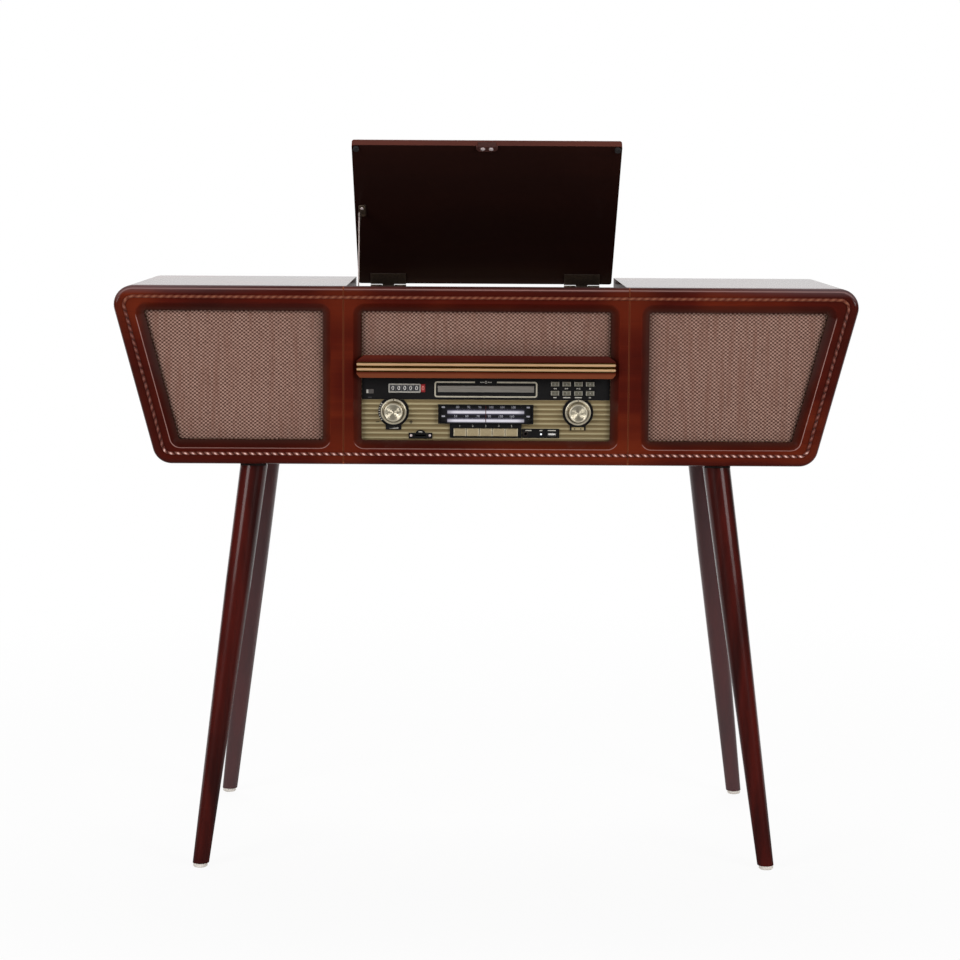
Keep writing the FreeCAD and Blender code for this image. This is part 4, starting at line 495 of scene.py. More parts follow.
# Cloth, metal, plastic and lamps
def grille_cloth():
    """Plain weave of a pale warp and a dark weft, with uneven threads."""
    paint = new_paint("cloth")
    x, _, z = paint.axes()
    wander = paint.noise(60) - 0.5
    across = (x + wander * 0.9 * MM) * (math.pi / WARP_PITCH)
    up = (z - x * WEFT_SKEW + wander * 0.7 * MM) * (math.pi / WEFT_PITCH)
    over = across.sine() * up.sine()
    fibre = paint.noise(1500)
    threads = paint.noise(detail=1.0, stretch=(300, 1, 260))
    slub = paint.noise(stretch=(150, 1, 12))
    colour = paint.layers(
        (79, 50, 41), (over.step(-0.6, 0.7), (181, 144, 129)), (slub.step(0.42, 0.72) * 0.4, (116, 76, 62)),
        (threads.step(0.5, 0.8) * 0.45, (84, 56, 47)), (fibre.step(0.5, 0.8) * 0.3, (100, 72, 62)))
    relief = abs(over) + fibre * 0.25
    paint.surface(colour, 0.9, relief, 0.45 * MM, sheen_weight=0.1, specular_ior_level=0.2)


def metal(name, shade, worn, roughness, brushed=None, scale=300, relief=0.01 * MM, metallic=1.0):
    """Metal with fine marks, stretched along the axis that brushed makes smaller."""
    paint = new_paint(name)
    marks = paint.noise(scale, 3.0, stretch=brushed)
    wear = marks.step(0.35, 0.75) * 0.6 + paint.noise(24).step(0.5, 0.8) * 0.3
    colour = paint.mix(wear, shade, worn)
    paint.surface(colour, roughness + marks * 0.12, marks, relief, metallic=metallic)


def spun_metal():
    """Pale gold: a painted highlight on the skirt and lip, painted shade in the groove between them and the
    lathe's rings on the cap.
    """
    paint = new_paint("knob_metal")
    x, _, z = paint.axes()
    out, up = abs(x) - KNOB_SPREAD, z - KNOB_Z
    radius = (out * out + up * up) ** 0.5
    cap = 1 - radius.step(10 * MM, 12 * MM)
    rings = (radius * (TURN / KNOB_RING_PITCH)).sine() * cap * 0.5 + 0.5
    clouds = paint.noise(60)
    # The skirt and lip are painted bright and made less metallic as a painted highlight, and the groove
    # between them is painted dark as shade
    skirt = radius.step(15.4 * MM, 16.2 * MM)
    groove = radius.step(13.5 * MM, 13.9 * MM) * (1 - skirt)
    lip = radius.step(10.8 * MM, 11.4 * MM) * (1 - radius.step(13.2 * MM, 13.5 * MM))
    colour = paint.layers(
        (236, 226, 202), (rings * 0.35 + clouds * 0.2, (206, 194, 166)), (groove * 0.75, (96, 82, 56)),
        (skirt.most(lip) * 0.8, (240, 231, 208)))
    metallic = 0.85 - skirt * 0.4 - lip * 0.3
    paint.surface(colour, 0.27 + clouds * 0.06, rings, 0.19 * MM, metallic=metallic)


def moulded(name, shade, deep, roughness, grain_scale=900, relief=0.02 * MM, coat=0.0, gloss=0.5):
    """Moulded plastic, paint or rubber with a fine grain; gloss is how much the bare surface mirrors."""
    paint = new_paint(name)
    fine = paint.noise(grain_scale)
    spots = fine.step(0.35, 0.7) * 0.5 + paint.noise(30).step(0.4, 0.8) * 0.4
    colour = paint.mix(spots, shade, deep)
    paint.surface(
        colour, roughness + fine * 0.1, fine, relief, coat_weight=coat, specular_ior_level=gloss)


def gold_plate():
    """Champagne gold, with a dark line of painted shade and a pale line of painted highlight along each rib.
    """
    paint = new_paint("gold_plate")
    _, _, z = paint.axes()
    phase = ((z - RIB_START_Z) / RIB_PITCH).math("FRACT")
    # A pale line of painted highlight and a dark line of painted shade in each rib's pitch
    pale = phase.step(0.0, 0.06) * (1 - phase.step(0.24, 0.34))
    dark = phase.step(0.5, 0.62) * (1 - phase.step(0.84, 0.98))
    streaks = paint.noise(detail=3.0, stretch=(6, 1, 700))
    colour = paint.layers(
        (150, 132, 94), (dark, (128, 110, 74)), (pale, (192, 178, 139)),
        (streaks.step(0.45, 0.75) * 0.3, (128, 113, 78)))
    paint.surface(colour, 0.42 + streaks * 0.12, streaks, 0.01 * MM, metallic=0.25)


def from_lamps(z):
    """How far a height is from the nearer of the dial's two lamps."""
    return abs(z - DIAL_LAMP_Z[0]).least(abs(z - DIAL_LAMP_Z[1]))


def lamp():
    """A lit bar: white along its middle, violet towards its edges and ends."""
    paint = new_paint("lamp")
    x, _, z = paint.axes()
    ends = 1 - abs(x).step(44 * MM, 56 * MM) * 0.5
    core = 1 - from_lamps(z).step(0.6 * MM, 2.7 * MM) * 0.75
    bright = (paint.noise(90) * 0.2 + 0.85) * ends * core
    colour = paint.mix(bright, (66, 62, 84), (244, 241, 250))
    paint.surface((20, 20, 24), 0.4, emission_color=colour, emission_strength=0.95)


def dial_card():
    """Dark printed card with a weak painted glow of lamplight round the two lamps."""
    paint = new_paint("dial_card")
    x, _, z = paint.axes()
    # A painted glow of lamplight round the lamps
    bright = (1 - from_lamps(z).step(2 * MM, 6 * MM)) * (1 - abs(x).step(50 * MM, 60 * MM))
    colour = paint.mix(paint.noise(300) * 0.3, (14, 13, 16), (22, 20, 25))
    light = paint.mix(bright, (3, 3, 4), (62, 60, 78))
    paint.surface(colour, 0.5, emission_color=light, emission_strength=0.8)


def glass():
    paint = new_paint("glass")
    smears = paint.noise(40)
    paint.surface((9, 9, 11), 0.03 + smears * 0.05, alpha=0.05 + smears * 0.03)


def ivory(name, shade, edge, deep):
    """Cream moulding that is paler along its upright edges."""
    paint = new_paint(name)
    share, _, _ = paint.axes("Generated")
    grit = paint.noise(500)
    rim = abs(share - 0.5).step(0.4, 0.48)
    colour = paint.layers(shade, (grit.step(0.35, 0.75) * 0.5, deep), (rim, edge))
    paint.surface(colour, 0.32 + grit * 0.1, grit, 0.01 * MM)


def glowing(name, shade, strength):
    paint = new_paint(name)
    colour = paint.mix(paint.noise(600) * 0.3, shade, (255, 255, 255))
    paint.surface(colour, 0.35, emission_color=colour, emission_strength=strength)


# All finishes: those of the slots first, then those of single pieces and of the prints
leg_wood()
bare_board()
hardboard()
rope_stain()
grille_cloth()
spun_metal()
gold_plate()
lamp()
glass()
cabinet_wood("walnut", box_stain, 0.17)
metal("brass", (232, 190, 144), (212, 168, 122), 0.3, (0.05, 1, 1), 200, 0.0005 * MM, 0.35)
metal("steel", (176, 174, 170), (128, 124, 120), 0.3)
metal("aluminium", (204, 203, 204), (166, 165, 168), 0.28)
metal("grey_plastic", (150, 145, 137), (120, 115, 108), 0.36, (0.03, 1, 1), 1200, metallic=0.4)
moulded("nylon", (240, 234, 226), (224, 216, 206), 0.5)
moulded("rubber", (26, 25, 25), (40, 39, 38), 0.75, 1200)
moulded("deck_black", (19, 17, 17), (30, 28, 27), 0.5, 1600, 0.08 * MM)
moulded("black_plastic", (27, 26, 27), (34, 33, 33), 0.25, 600, 0.003 * MM, gloss=0.15)
moulded("pointer", (84, 24, 18), (60, 16, 12), 0.5)
moulded("paper", (32, 31, 30), (48, 46, 44), 0.8, 600, 0.1 * MM)
moulded("circuit", (22, 72, 42), (34, 96, 54), 0.4)
ivory("cream", (164, 148, 115), (204, 192, 162), (144, 128, 98))
ivory("button_grey", (126, 122, 108), (176, 172, 160), (104, 100, 88))
cabinet_wood("walnut_front", front_stain)
cabinet_wood("walnut_ledge", ledge_stain)
cabinet_wood("walnut_lid", lid_stain)
metal("pull_bronze", (104, 66, 60), (72, 42, 38), 0.32, metallic=0.5)
metal("hinge_bronze", (92, 80, 70), (58, 48, 42), 0.34, metallic=0.7)
metal("stay_bronze", (112, 97, 82), (84, 72, 60), 0.4, metallic=0.35)
metal("stay_steel", (224, 208, 202), (196, 180, 172), 0.3, metallic=0.35)
metal("counter_frame", (184, 180, 172), (156, 152, 144), 0.36, metallic=0.3)
metal("bright_metal", (244, 228, 228), (222, 206, 204), 0.25, metallic=0.4)
# Dark olive for the painted shade and reflection between and under the brass beads
metal("brass_dark", (86, 60, 22), (64, 42, 14), 0.4, (0.05, 1, 1), 200, 0.001 * MM)
# Dark hinges with pale spots that are painted glints
moulded("hinge_tarnish", (46, 38, 32), (138, 124, 110), 0.6, 160, gloss=0.1)
moulded("bumper_grey", (46, 44, 44), (34, 32, 32), 0.6)
moulded("dark_paint", (30, 18, 15), (44, 27, 22), 0.45, coat=0.2)
moulded("drum_dark", (64, 63, 67), (46, 45, 49), 0.45)
moulded("sensor_grey", (92, 88, 86), (66, 62, 60), 0.2, coat=0.5)
moulded("button_inlay", (96, 93, 80), (78, 75, 64), 0.4)
moulded("print_pale", (188, 184, 174), (160, 156, 148), 0.5)
moulded("print_white", (224, 222, 218), (204, 200, 194), 0.45)
moulded("print_dark", (32, 28, 24), (20, 18, 16), 0.5)
moulded("print_red", (158, 30, 34), (116, 18, 22), 0.4)
moulded("print_pink", (226, 140, 130), (204, 112, 104), 0.45)
metal("print_gold", (206, 199, 180), (176, 168, 148), 0.4, metallic=0.3)
dial_card()
# The dial's print glows a little, as painted lamplight
glowing("dial_print", (150, 148, 160), 0.25)
glowing("led_white", (232, 238, 246), 0.8)

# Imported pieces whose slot's finish is too plain for them
NODE_FINISHES = {
    "front_frame": "walnut_front",
    "rail_ledge": "walnut_ledge",
    "lid_panel": "walnut_lid",
    "lid_pull": "pull_bronze",
    "lid_bumpers": "bumper_grey",
    "lid_fittings": "hinge_bronze",
    "cabinet_fittings": "hinge_tarnish",
    "counter": "counter_frame",
    "stay_arm": "stay_steel",
    "leg_plates": "dark_paint",
}


def dress_nodes():
    for name, item in nodes.items():
        slot = item.data.materials[0].name
        item.material_slots[0].material = FINISHES[NODE_FINISHES.get(name, slot)]


def ease_edges(width, *names):
    """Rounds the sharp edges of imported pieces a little, so that they catch the light."""
    for name in names:
        weld = nodes[name].modifiers.new("Weld", "WELD")
        weld.merge_threshold = WELD_DISTANCE
        bevel = nodes[name].modifiers.new("Eased", "BEVEL")
        bevel.width = width
        bevel.segments = 2
        bevel.limit_method = "ANGLE"
        bevel.angle_limit = math.radians(SHARP_ANGLE)
        bevel.harden_normals = True


# Outlines, as points in X and Z
def evenly(first, last, count):
    """So many values at equal steps from first to last."""
    return [first + (last - first) * index / (count - 1) for index in range(count)]


def around(points):
    """Each point of a closed outline with the ones before and after it."""
    return zip(points[-1:] + points[:-1], points, points[1:] + points[:1])


def shrunk(outline, inset):
    """An outline with each corner moved inward, as its two edges move by inset."""
    if not inset:
        return list(outline)
    points = [Vector(point) for point in outline]
    area = sum(here.x * after.y - here.y * after.x for _, here, after in around(points))
    sign = 1 if area > 0 else -1
    found = []
    for before, here, after in around(points):
        edges = (here - before).normalized(), (after - here).normalized()
        normals = [Vector((-edge.y, edge.x)) * sign for edge in edges]
        middle = (normals[0] + normals[1]).normalized()
        found.append(here + middle * (inset / max(middle.dot(normals[0]), MITRE_LIMIT)))
    return [(point.x, point.y) for point in found]


def rounded(corners, radius, steps):
    """A polygon whose corners are arcs."""
    if not radius:
        return list(corners)
    outline = []
    for before, here, after in around([Vector(corner) for corner in corners]):
        towards, away = (before - here).normalized(), (after - here).normalized()
        half = towards.angle(away) / 2
        middle = here + (towards + away).normalized() * (radius / math.sin(half))
        start = here + towards * (radius / math.tan(half)) - middle
        end = here + away * (radius / math.tan(half)) - middle
        for step in range(steps + 1):
            spoke = start.lerp(end, step / steps).normalized() * radius
            outline.append((middle.x + spoke.x, middle.y + spoke.y))
    return outline


def rectangle(left, right, low, high, corner=0.0, steps=3):
    """A rectangle, with round corners if corner is given."""
    return rounded([(left, low), (right, low), (right, high), (left, high)], corner, steps)


def arrow(x, z, size, way):
    """A triangle that points along X, wound the same way round for both directions."""
    tail = x - way * size / 2
    points = [(tail, z - size / 2), (x + way * size / 2, z), (tail, z + size / 2)]
    return points if way > 0 else points[::-1]


def cabinet_outline(inset, steps):
    """The front's rounded trapezoid, moved inward."""
    low, high = CABINET_LOW + inset, CABINET_HIGH - inset
    foot, head = [side_x(z) - inset * math.hypot(1, SIDE_LEAN) for z in (low, high)]
    corners = [(-foot, low), (foot, low), (head, high), (-head, high)]
    return rounded(corners, CABINET_CORNER - inset, steps)


def spaced(outline, pitch, steps):
    """Points at equal steps along a closed outline, so many to each pitch."""
    points = [Vector(point) for point in outline]
    runs = [(after - here).length for _, here, after in around(points)]
    total = sum(runs)
    count = round(total / pitch) * steps
    found = []
    run = 0
    done = 0.0
    for step in range(count):
        target = total * step / count
        while done + runs[run] < target:
            done += runs[run]
            run += 1
        start, end = points[run], points[(run + 1) % len(points)]
        found.append(start.lerp(end, (target - done) / runs[run]))
    return found


# Pieces
class Shape:
    """The corners and faces of one piece, gathered before it becomes an object."""

    def __init__(self):
        self.points = []
        self.faces = []

    def add(self, points, faces):
        first = len(self.points)
        self.points += [Vector(point) for point in points]
        self.faces += [[first + corner for corner in face] for face in faces]
        return self

    def skin(self, rings, closed=False):
        """Faces between rings of equal length, with end caps unless the last meets the first."""
        count = len(rings[0])
        points = [point for ring in rings for point in ring]
        pairs = len(rings) if closed else len(rings) - 1
        faces = []
        for row in range(pairs):
            near = row * count
            far = (row + 1) % len(rings) * count
            for column in range(count):
                after = (column + 1) % count
                faces.append([near + column, near + after, far + after, far + column])
        if not closed:
            faces.append(list(range(count))[::-1])
            faces.append([len(points) - count + corner for corner in range(count)])
        return self.add(points, faces)

    def levels(self, outline, *levels, closed=False):
        """A skin over one outline at several levels, each a place in Y and an inset."""
        return self.skin([[(x, y, z) for x, z in shrunk(outline, inset)] for y, inset in levels], closed)

    def plate(self, outline, surface, depth=PRINT_DEPTH, edge=0.0):
        """An outline that stands out from a surface by depth, with its front edge eased."""
        front = surface - depth
        eased = [(front + edge, 0.0)] if edge else []
        return self.levels(outline, (surface, 0.0), *eased, (front, edge))

    def bar(self, x, z, half, rise, surface, depth=PRINT_DEPTH, edge=0.0, corner=0.0, steps=3):
        """A rectangular plate about a place in X and Z, given by half its sides."""
        outline = rectangle(x - half, x + half, z - rise, z + rise, corner, steps)
        return self.plate(outline, surface, depth, edge)

    def ribbon(self, path, width, surface, depth=PRINT_DEPTH):
        """A raised line along an open path in X and Z."""
        points = [Vector(point) for point in path]
        rings = []
        for before, here, after in zip(points[:1] + points[:-1], points, points[1:] + points[-1:]):
            along = (after - before).normalized()
            side = Vector((-along.y, along.x)) * (width / 2)
            ends = [here + side, here - side]
            ring = [(end.x, surface, end.y) for end in ends]
            rings.append(ring + [(end.x, surface - depth, end.y) for end in ends[::-1]])
        return self.skin(rings)

    def half_round(self, stations, z, rise, back, out, steps):
        """An arc in Y and Z, drawn out along X through stations, each a place and a size."""
        rings = []
        for x, size in stations:
            angles = [math.pi * (step / steps - 0.5) for step in range(steps + 1)]
            rings.append([(x, back - out * math.cos(angle) * size, z + rise * size * math.sin(angle))
                          for angle in angles])
        return self.skin(rings)

    def lathe(self, profile, centre, axis="y", steps=48, closed=False):
        """Turns a profile of radius and place along the axis about a line through centre."""
        rings = []
        for radius, along in profile:
            ring = []
            for step in range(steps):
                angle = TURN * step / steps
                across, up = radius * math.cos(angle), radius * math.sin(angle)
                offset = {"y": (across, along, up), "z": (across, up, along)}[axis]
                ring.append(Vector(centre) + Vector(offset))
            rings.append(ring)
        return self.skin(rings, closed)

    def text(self, words, size, place, depth=PRINT_DEPTH):
        """Figures facing the front, centred on place, standing out by depth."""
        curve = bpy.data.curves.new("figures", "FONT")
        curve.body = words
        curve.size = size
        curve.extrude = depth / 2
        curve.align_x = curve.align_y = "CENTER"
        curve.resolution_u = 3
        holder = bpy.data.objects.new("figures", curve)
        mesh = bpy.data.meshes.new_from_object(holder)
        x, y, z = place
        points = [(x + v.co.x, y - depth / 2 - v.co.z, z + v.co.y) for v in mesh.vertices]
        self.add(points, [list(face.vertices) for face in mesh.polygons])
        bpy.data.objects.remove(holder)
        bpy.data.curves.remove(curve)
        bpy.data.meshes.remove(mesh)
        return self

    def moved(self, matrix):
        self.points = [matrix @ point for point in self.points]
        return self

    def build(self, name, slot, finish="", body="cabinet", stands_for=(), smooth=SHARP_ANGLE):
        """Makes the piece; it has its slot's own finish unless another is named."""
        mesh = bpy.data.meshes.new(name)
        mesh.from_pydata(self.points, [], self.faces)
        work = bmesh.new()
        work.from_mesh(mesh)
        bmesh.ops.remove_doubles(work, verts=work.verts, dist=MERGE_DISTANCE)
        bmesh.ops.recalc_face_normals(work, faces=work.faces)
        work.to_mesh(mesh)
        work.free()
        mesh.shade_smooth()
        mesh.set_sharp_from_angle(angle=math.radians(smooth))
        mesh.materials.append(FINISHES[finish or slot])
        made = placed(name, mesh)
        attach(made, body)
        if stands_for:
            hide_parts(*stands_for)
        return made


def placed(name, data):
    made = bpy.data.objects.new(name, data)
    bpy.context.scene.collection.objects.link(made)
    return made


def middle_of(node):
    """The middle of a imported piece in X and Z, and its front in Y."""
    low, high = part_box(node)
    return (low.x + high.x) / 2, low.y, (low.z + high.z) / 2


def inner(node, border, corner=0.0):
    """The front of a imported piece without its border."""
    low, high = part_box(node)
    return rectangle(low.x + border, high.x - border, low.z + border, high.z - border, corner)


# Cabinet pieces
def rope_moulding():
    """A half-round rope round the cabinet's front, whose twist changes hand halfway up the sides."""
    line = spaced(cabinet_outline(ROPE_INSET, ROPE_CORNER_STEPS), ROPE_PITCH, ROPE_STEPS)
    rings = []
    crests, crowns = [], []
    for index, here in enumerate(line):
        along = (line[(index + 1) % len(line)] - line[index - 1]).normalized()
        inward = Vector((-along.y, along.x))
        lean = ROPE_LEAN * max(-1.0, min(1.0, (CABINET_MIDDLE - here.y) / ROPE_CHANGE))
        ring = []
        for step in range(ROPE_PROFILE_STEPS + 1):
            share = step / ROPE_PROFILE_STEPS
            angle = math.pi * share
            phase = index / ROPE_STEPS + lean * (share - 0.5)
            crest = abs(math.sin(math.pi * phase)) ** ROPE_CREST_POWER
            half = ROPE_WIDTH / 2 * (1 - ROPE_WAIST * (1 - crest))
            height = ROPE_HEIGHT * (1 - ROPE_GROOVE * (1 - crest))
            side = here - inward * (math.cos(angle) * half)
            ring.append((side.x, FRONT_Y - math.sin(angle) * height, side.y))
            crests.append(crest)
            # Where the painted highlight goes on each lobe
            crowns.append(crest ** ROPE_CROWN_POWER * math.sin(angle) ** 2)
        rings.append(ring)
    made = Shape().skin(rings, closed=True).build(
        "rope_lacing", "rope", stands_for=["rope_moulding"], smooth=70)
    for name, shares in (("crest", crests), ("crown", crowns)):
        made.data.attributes.new(name, "FLOAT", "POINT").data.foreach_set("value", shares)


def cloth_panel(name, corners):
    """A stretched cloth whose edge rolls back to the board behind it."""
    outline = rounded(corners, CLOTH_CORNER, 4)
    front, back = CLOTH_LOW.y, CLOTH_HIGH.y
    shape = Shape().levels(
        outline, (back, 0.0), (front + CLOTH_ROLL, 0.0), (front + CLOTH_ROLL / 3, CLOTH_ROLL / 3),
        (front, CLOTH_ROLL))
    made = shape.build(name, "cloth", stands_for=["grille_cloths"], smooth=60)
    widths, heights = zip(*outline)
    area = abs(sum(here[0] * after[1] - here[1] * after[0] for _, here, after in around(outline))) / 2
    flat = (max(widths) - min(widths), max(heights) - min(heights))


def grille_panels():
    low, high = CLOTH_LOW.z, CLOTH_HIGH.z
    foot, head = [side_x(z) - CLOTH_SIDE_BORDER for z in (low, high)]
    for name, side in (("grille_cloth_left", -1), ("grille_cloth_right", 1)):
        corners = [(CLOTH_INNER_X, low), (foot, low), (head, high), (CLOTH_INNER_X, high)]
        cloth_panel(name, [(side * x, z) for x, z in corners])
    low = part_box("rail_ledge")[1].z - CLOTH_TUCK
    cloth_panel("grille_cloth_centre", rectangle(-CLOTH_CENTRE_HALF, CLOTH_CENTRE_HALF, low, high))


RAIL_BEAD_HALF = 1.95 * MM
RAIL_BEAD_STEPS = 12
RAIL_STRIP_REACH = 3.6 * MM
RAIL_STRIP_DEPTH = 0.3 * MM
RAIL_STRIP_INSET = 1 * MM
# How far each ring of a bead's round end lies from the end, and its share of the full size
RAIL_BEAD_END = [(0.0, 0.3), (0.4 * MM, 0.7), (1.2 * MM, 0.94), (2.4 * MM, 1.0)]


def rail_beads():
    """Two half-round brass beads along the ledge, with round ends, on a dark strip that is painted shade and
    reflection.
    """
    low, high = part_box("brass_rails")
    left = [(low.x + inset, size) for inset, size in RAIL_BEAD_END]
    stations = left + [(-x, size) for x, size in left[::-1]]
    beads = Shape()
    for z in RAIL_BEAD_Z:
        beads.half_round(stations, z, RAIL_BEAD_HALF, high.y, high.y - low.y, RAIL_BEAD_STEPS)
    strip = rectangle(low.x + RAIL_STRIP_INSET, high.x - RAIL_STRIP_INSET,
                      RAIL_BEAD_Z[1] - RAIL_STRIP_REACH, RAIL_BEAD_Z[0] + RAIL_STRIP_REACH)
    # A dark strip behind the beads as painted shade and reflection
    Shape().plate(strip, high.y, RAIL_STRIP_DEPTH).build("brass_strip", "brass", "brass_dark")
    beads.build("brass_beads", "brass", stands_for=["brass_rails"], smooth=50)


# Knobs
DISH_RADIUS = 11.3
DISH_EDGE = 17.8
DISH_DEPTH = 0.4
DISH_RINGS = 8
# Radius and height in front of the bezel, in millimetres, from the shaft to the edge of the dish
KNOB_PROFILE = [
    (3.0, -17.0), (3.0, 0.4), (18.2, 0.4), (18.7, 0.9), (18.7, 3.2), (18.4, 3.9), (17.7, 4.5), (17.0, 4.6),
    (16.5, 4.2), (16.1, 3.4), (15.0, 3.4), (14.4, 4.0), (13.8, 6.0), (13.4, 9.0), (13.4, 17.2), (13.2, 17.9),
    (12.7, 18.3), (12.1, 18.4), (11.6, 18.2), (DISH_RADIUS, DISH_EDGE)]
INDEX_RADIUS = 17.35 * MM
INDEX_HALVES = (0.6 * MM, 0.95 * MM)
INDEX_FOOT_Y = BEZEL_FRONT_Y - 3 * MM
INDEX_FORM = (1.75 * MM, 0.1 * MM, 0.3 * MM)


def turned(profile):
    """A profile of radius and height to the front, in millimetres, for a lathe about Y."""
    return [(radius * MM, -height * MM) for radius, height in profile]


def spun_knob(node, body, side):
    """A knob turned from bar, with a shallow dish and an index line on its skirt."""
    profile = list(KNOB_PROFILE)
    for ring in range(1, DISH_RINGS + 1):
        share = 1 - ring / (DISH_RINGS + 0.5)
        profile.append((DISH_RADIUS * share, DISH_EDGE - DISH_DEPTH * (1 - share ** 2)))
    x = side * KNOB_SPREAD
    Shape().lathe(turned(profile), (x, BEZEL_FRONT_Y, KNOB_Z), steps=96).build(
        node + "_spun", "knob_metal", body=body, stands_for=[node], smooth=60)
    index = Shape().bar(x, KNOB_Z + INDEX_RADIUS, *INDEX_HALVES, INDEX_FOOT_Y, *INDEX_FORM)
    index.build(node + "_index", "black_plastic", "print_dark", body)


BEZEL_RADIUS = 22.5 * MM
TICK_COUNT = 8
TICK_ANGLES = (math.radians(146), math.radians(214))
TICK_WIDTH = 1.5 * MM
TICK_INSETS = (2.8 * MM, 0.4 * MM)
TAB_SIGN_Z = 639.4 * MM
WEDGE_HALF = 7 * MM
WEDGE_LOW, WEDGE_HIGH = 0.7 * MM, 0.8 * MM
TAB_ARROW_SPREAD = 5 * MM
SIGN_SIZE = 2.4 * MM


def knob_signs():
    """Ticks beside the left knob, a wedge on its tab and two arrows on the right knob's tab."""
    pale = Shape()
    for angle in evenly(*TICK_ANGLES, TICK_COUNT):
        spoke = Vector((math.cos(angle), math.sin(angle)))
        path = [Vector((-KNOB_SPREAD, KNOB_Z)) + spoke * (BEZEL_RADIUS - inset) for inset in TICK_INSETS]
        pale.ribbon(path, TICK_WIDTH, BEZEL_FRONT_Y)
    low, high = TAB_SIGN_Z - WEDGE_LOW, TAB_SIGN_Z + WEDGE_HIGH
    left, right = -KNOB_SPREAD - WEDGE_HALF, -KNOB_SPREAD + WEDGE_HALF
    pale.plate([(left, low), (right, low), (right, high)], BEZEL_FRONT_Y)
    pale.build("tab_signs", "black_plastic", "print_pale")
    arrows = Shape()
    for way in (-1, 1):
        outline = arrow(KNOB_SPREAD + way * TAB_ARROW_SPREAD, TAB_SIGN_Z, SIGN_SIZE, way)
        arrows.plate(outline, BEZEL_FRONT_Y - PRINT_DEPTH)
    arrows.build("tuning_arrows", "black_plastic", "print_dark")


# Black strip: counter, disc tray and buttons
COUNTER_WHEELS = 5
COUNTER_RIM = 2 * MM
COUNTER_FLOOR_Y = -162.2 * MM
WHEEL_STEPS = 10
WHEEL_GAP = 0.5 * MM
WHEEL_CLEARANCE = 0.2 * MM
WHEEL_SINK = 0.1 * MM
RED_WHEEL_WIDTH = 6.2 * MM
RED_WHEEL_INSET = 0.8 * MM
RED_WHEEL_SINK = 0.3 * MM
FIGURE_SIZE = 8.6 * MM
FIGURE_DEPTH = 0.3 * MM
FIGURE_SINK, RED_FIGURE_SINK = 0.25 * MM, 0.4 * MM


def counter_wheels():
    """Number wheels behind the counter's window, and a red one beside it."""
    low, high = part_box("counter")
    middle = (low.z + high.z) / 2
    half = (high.z - low.z) / 2
    left = low.x + COUNTER_RIM
    width = (high.x - low.x - 2 * COUNTER_RIM) / COUNTER_WHEELS

    def wheel(shape, start, end, inset, back, sink):
        out = back - low.y - sink
        return shape.half_round([(start, 1.0), (end, 1.0)], middle, half - inset, back, out, WHEEL_STEPS)

    wheels, figures = Shape(), Shape()
    for index in range(COUNTER_WHEELS):
        start = left + width * index + WHEEL_GAP / 2
        inset = COUNTER_RIM + WHEEL_CLEARANCE
        wheel(wheels, start, start + width - WHEEL_GAP, inset, COUNTER_FLOOR_Y, WHEEL_SINK)
        figures.text("0", FIGURE_SIZE, (start + width / 2, low.y + FIGURE_SINK, middle), FIGURE_DEPTH)
    wheels.build("counter_wheels", "grey_plastic", "drum_dark")
    figures.build("counter_figures", "grey_plastic", "print_white")
    start = high.x + WHEEL_CLEARANCE
    end = start + RED_WHEEL_WIDTH
    red = wheel(Shape(), start, end, RED_WHEEL_INSET, STRIP_FRONT_Y, RED_WHEEL_SINK)
    red.build("counter_red_wheel", "grey_plastic", "print_red")
    place = ((start + end) / 2, low.y + RED_FIGURE_SINK, middle)
    figure = Shape().text("0", FIGURE_SIZE, place, FIGURE_DEPTH)
    figure.build("counter_red_figure", "grey_plastic", "print_pink")


DISC_FRAME_HALF = 74 * MM
DISC_FRAME_LOW = 685.7 * MM
DISC_FRAME_HIGH = 706.9 * MM
DISC_FRAME_GAP = 16 * MM
DISC_FRAME_LINE = 2.1 * MM
DISC_FRAME_CORNER = 3 * MM
DISC_FRAME_DEPTH = 0.5 * MM
DISC_SIGN_RADII = (1.9 * MM, 1.1 * MM)
DISC_BAR_PLACES = (4.2 * MM, 7.4 * MM)
DISC_BAR_HALVES = (1.1 * MM, 0.7 * MM)


def disc_frame():
    """A gold line round the disc tray, open at the top, with a plain disc sign in the opening."""
    half, low, high = DISC_FRAME_HALF, DISC_FRAME_LOW, DISC_FRAME_HIGH
    corners = rounded([(half, high), (half, low), (-half, low), (-half, high)], DISC_FRAME_CORNER, 5)
    path = [(DISC_FRAME_GAP, high), *corners, (-DISC_FRAME_GAP, high)]
    line = Shape().ribbon(path, DISC_FRAME_LINE, STRIP_FRONT_Y, DISC_FRAME_DEPTH)
    line.build("disc_frame", "gold_plate", "print_gold")
    rim, hole = DISC_SIGN_RADII
    ring = [(rim, 0.0), (rim, -PRINT_DEPTH), (hole, -PRINT_DEPTH), (hole, 0.0)]
    sign = Shape().lathe(ring, (0, STRIP_FRONT_Y, high), steps=24, closed=True)
    for side in (-1, 1):
        for x in DISC_BAR_PLACES:
            sign.bar(side * x, high, *DISC_BAR_HALVES, STRIP_FRONT_Y)
    sign.build("disc_sign", "gold_plate", "print_pale")


BUTTON_SIGN_Z = 698.3 * MM
BUTTON_NOTE_Z = 685.2 * MM
BUTTON_NOTE_HALVES = (2.4 * MM, 5.2 * MM, 5.2 * MM, 1.3 * MM)
BUTTON_NOTE_RISE = 0.8 * MM
BUTTON_BORDER = 1.5 * MM
BUTTON_CORNER = 0.6 * MM
BUTTON_INLAY_FOOT = 0.3 * MM
BUTTON_INLAY_EDGE = 0.05 * MM
BUTTON_FIGURE_SIZE = 4 * MM
BUTTON_FIGURE_DEPTH = 0.1 * MM
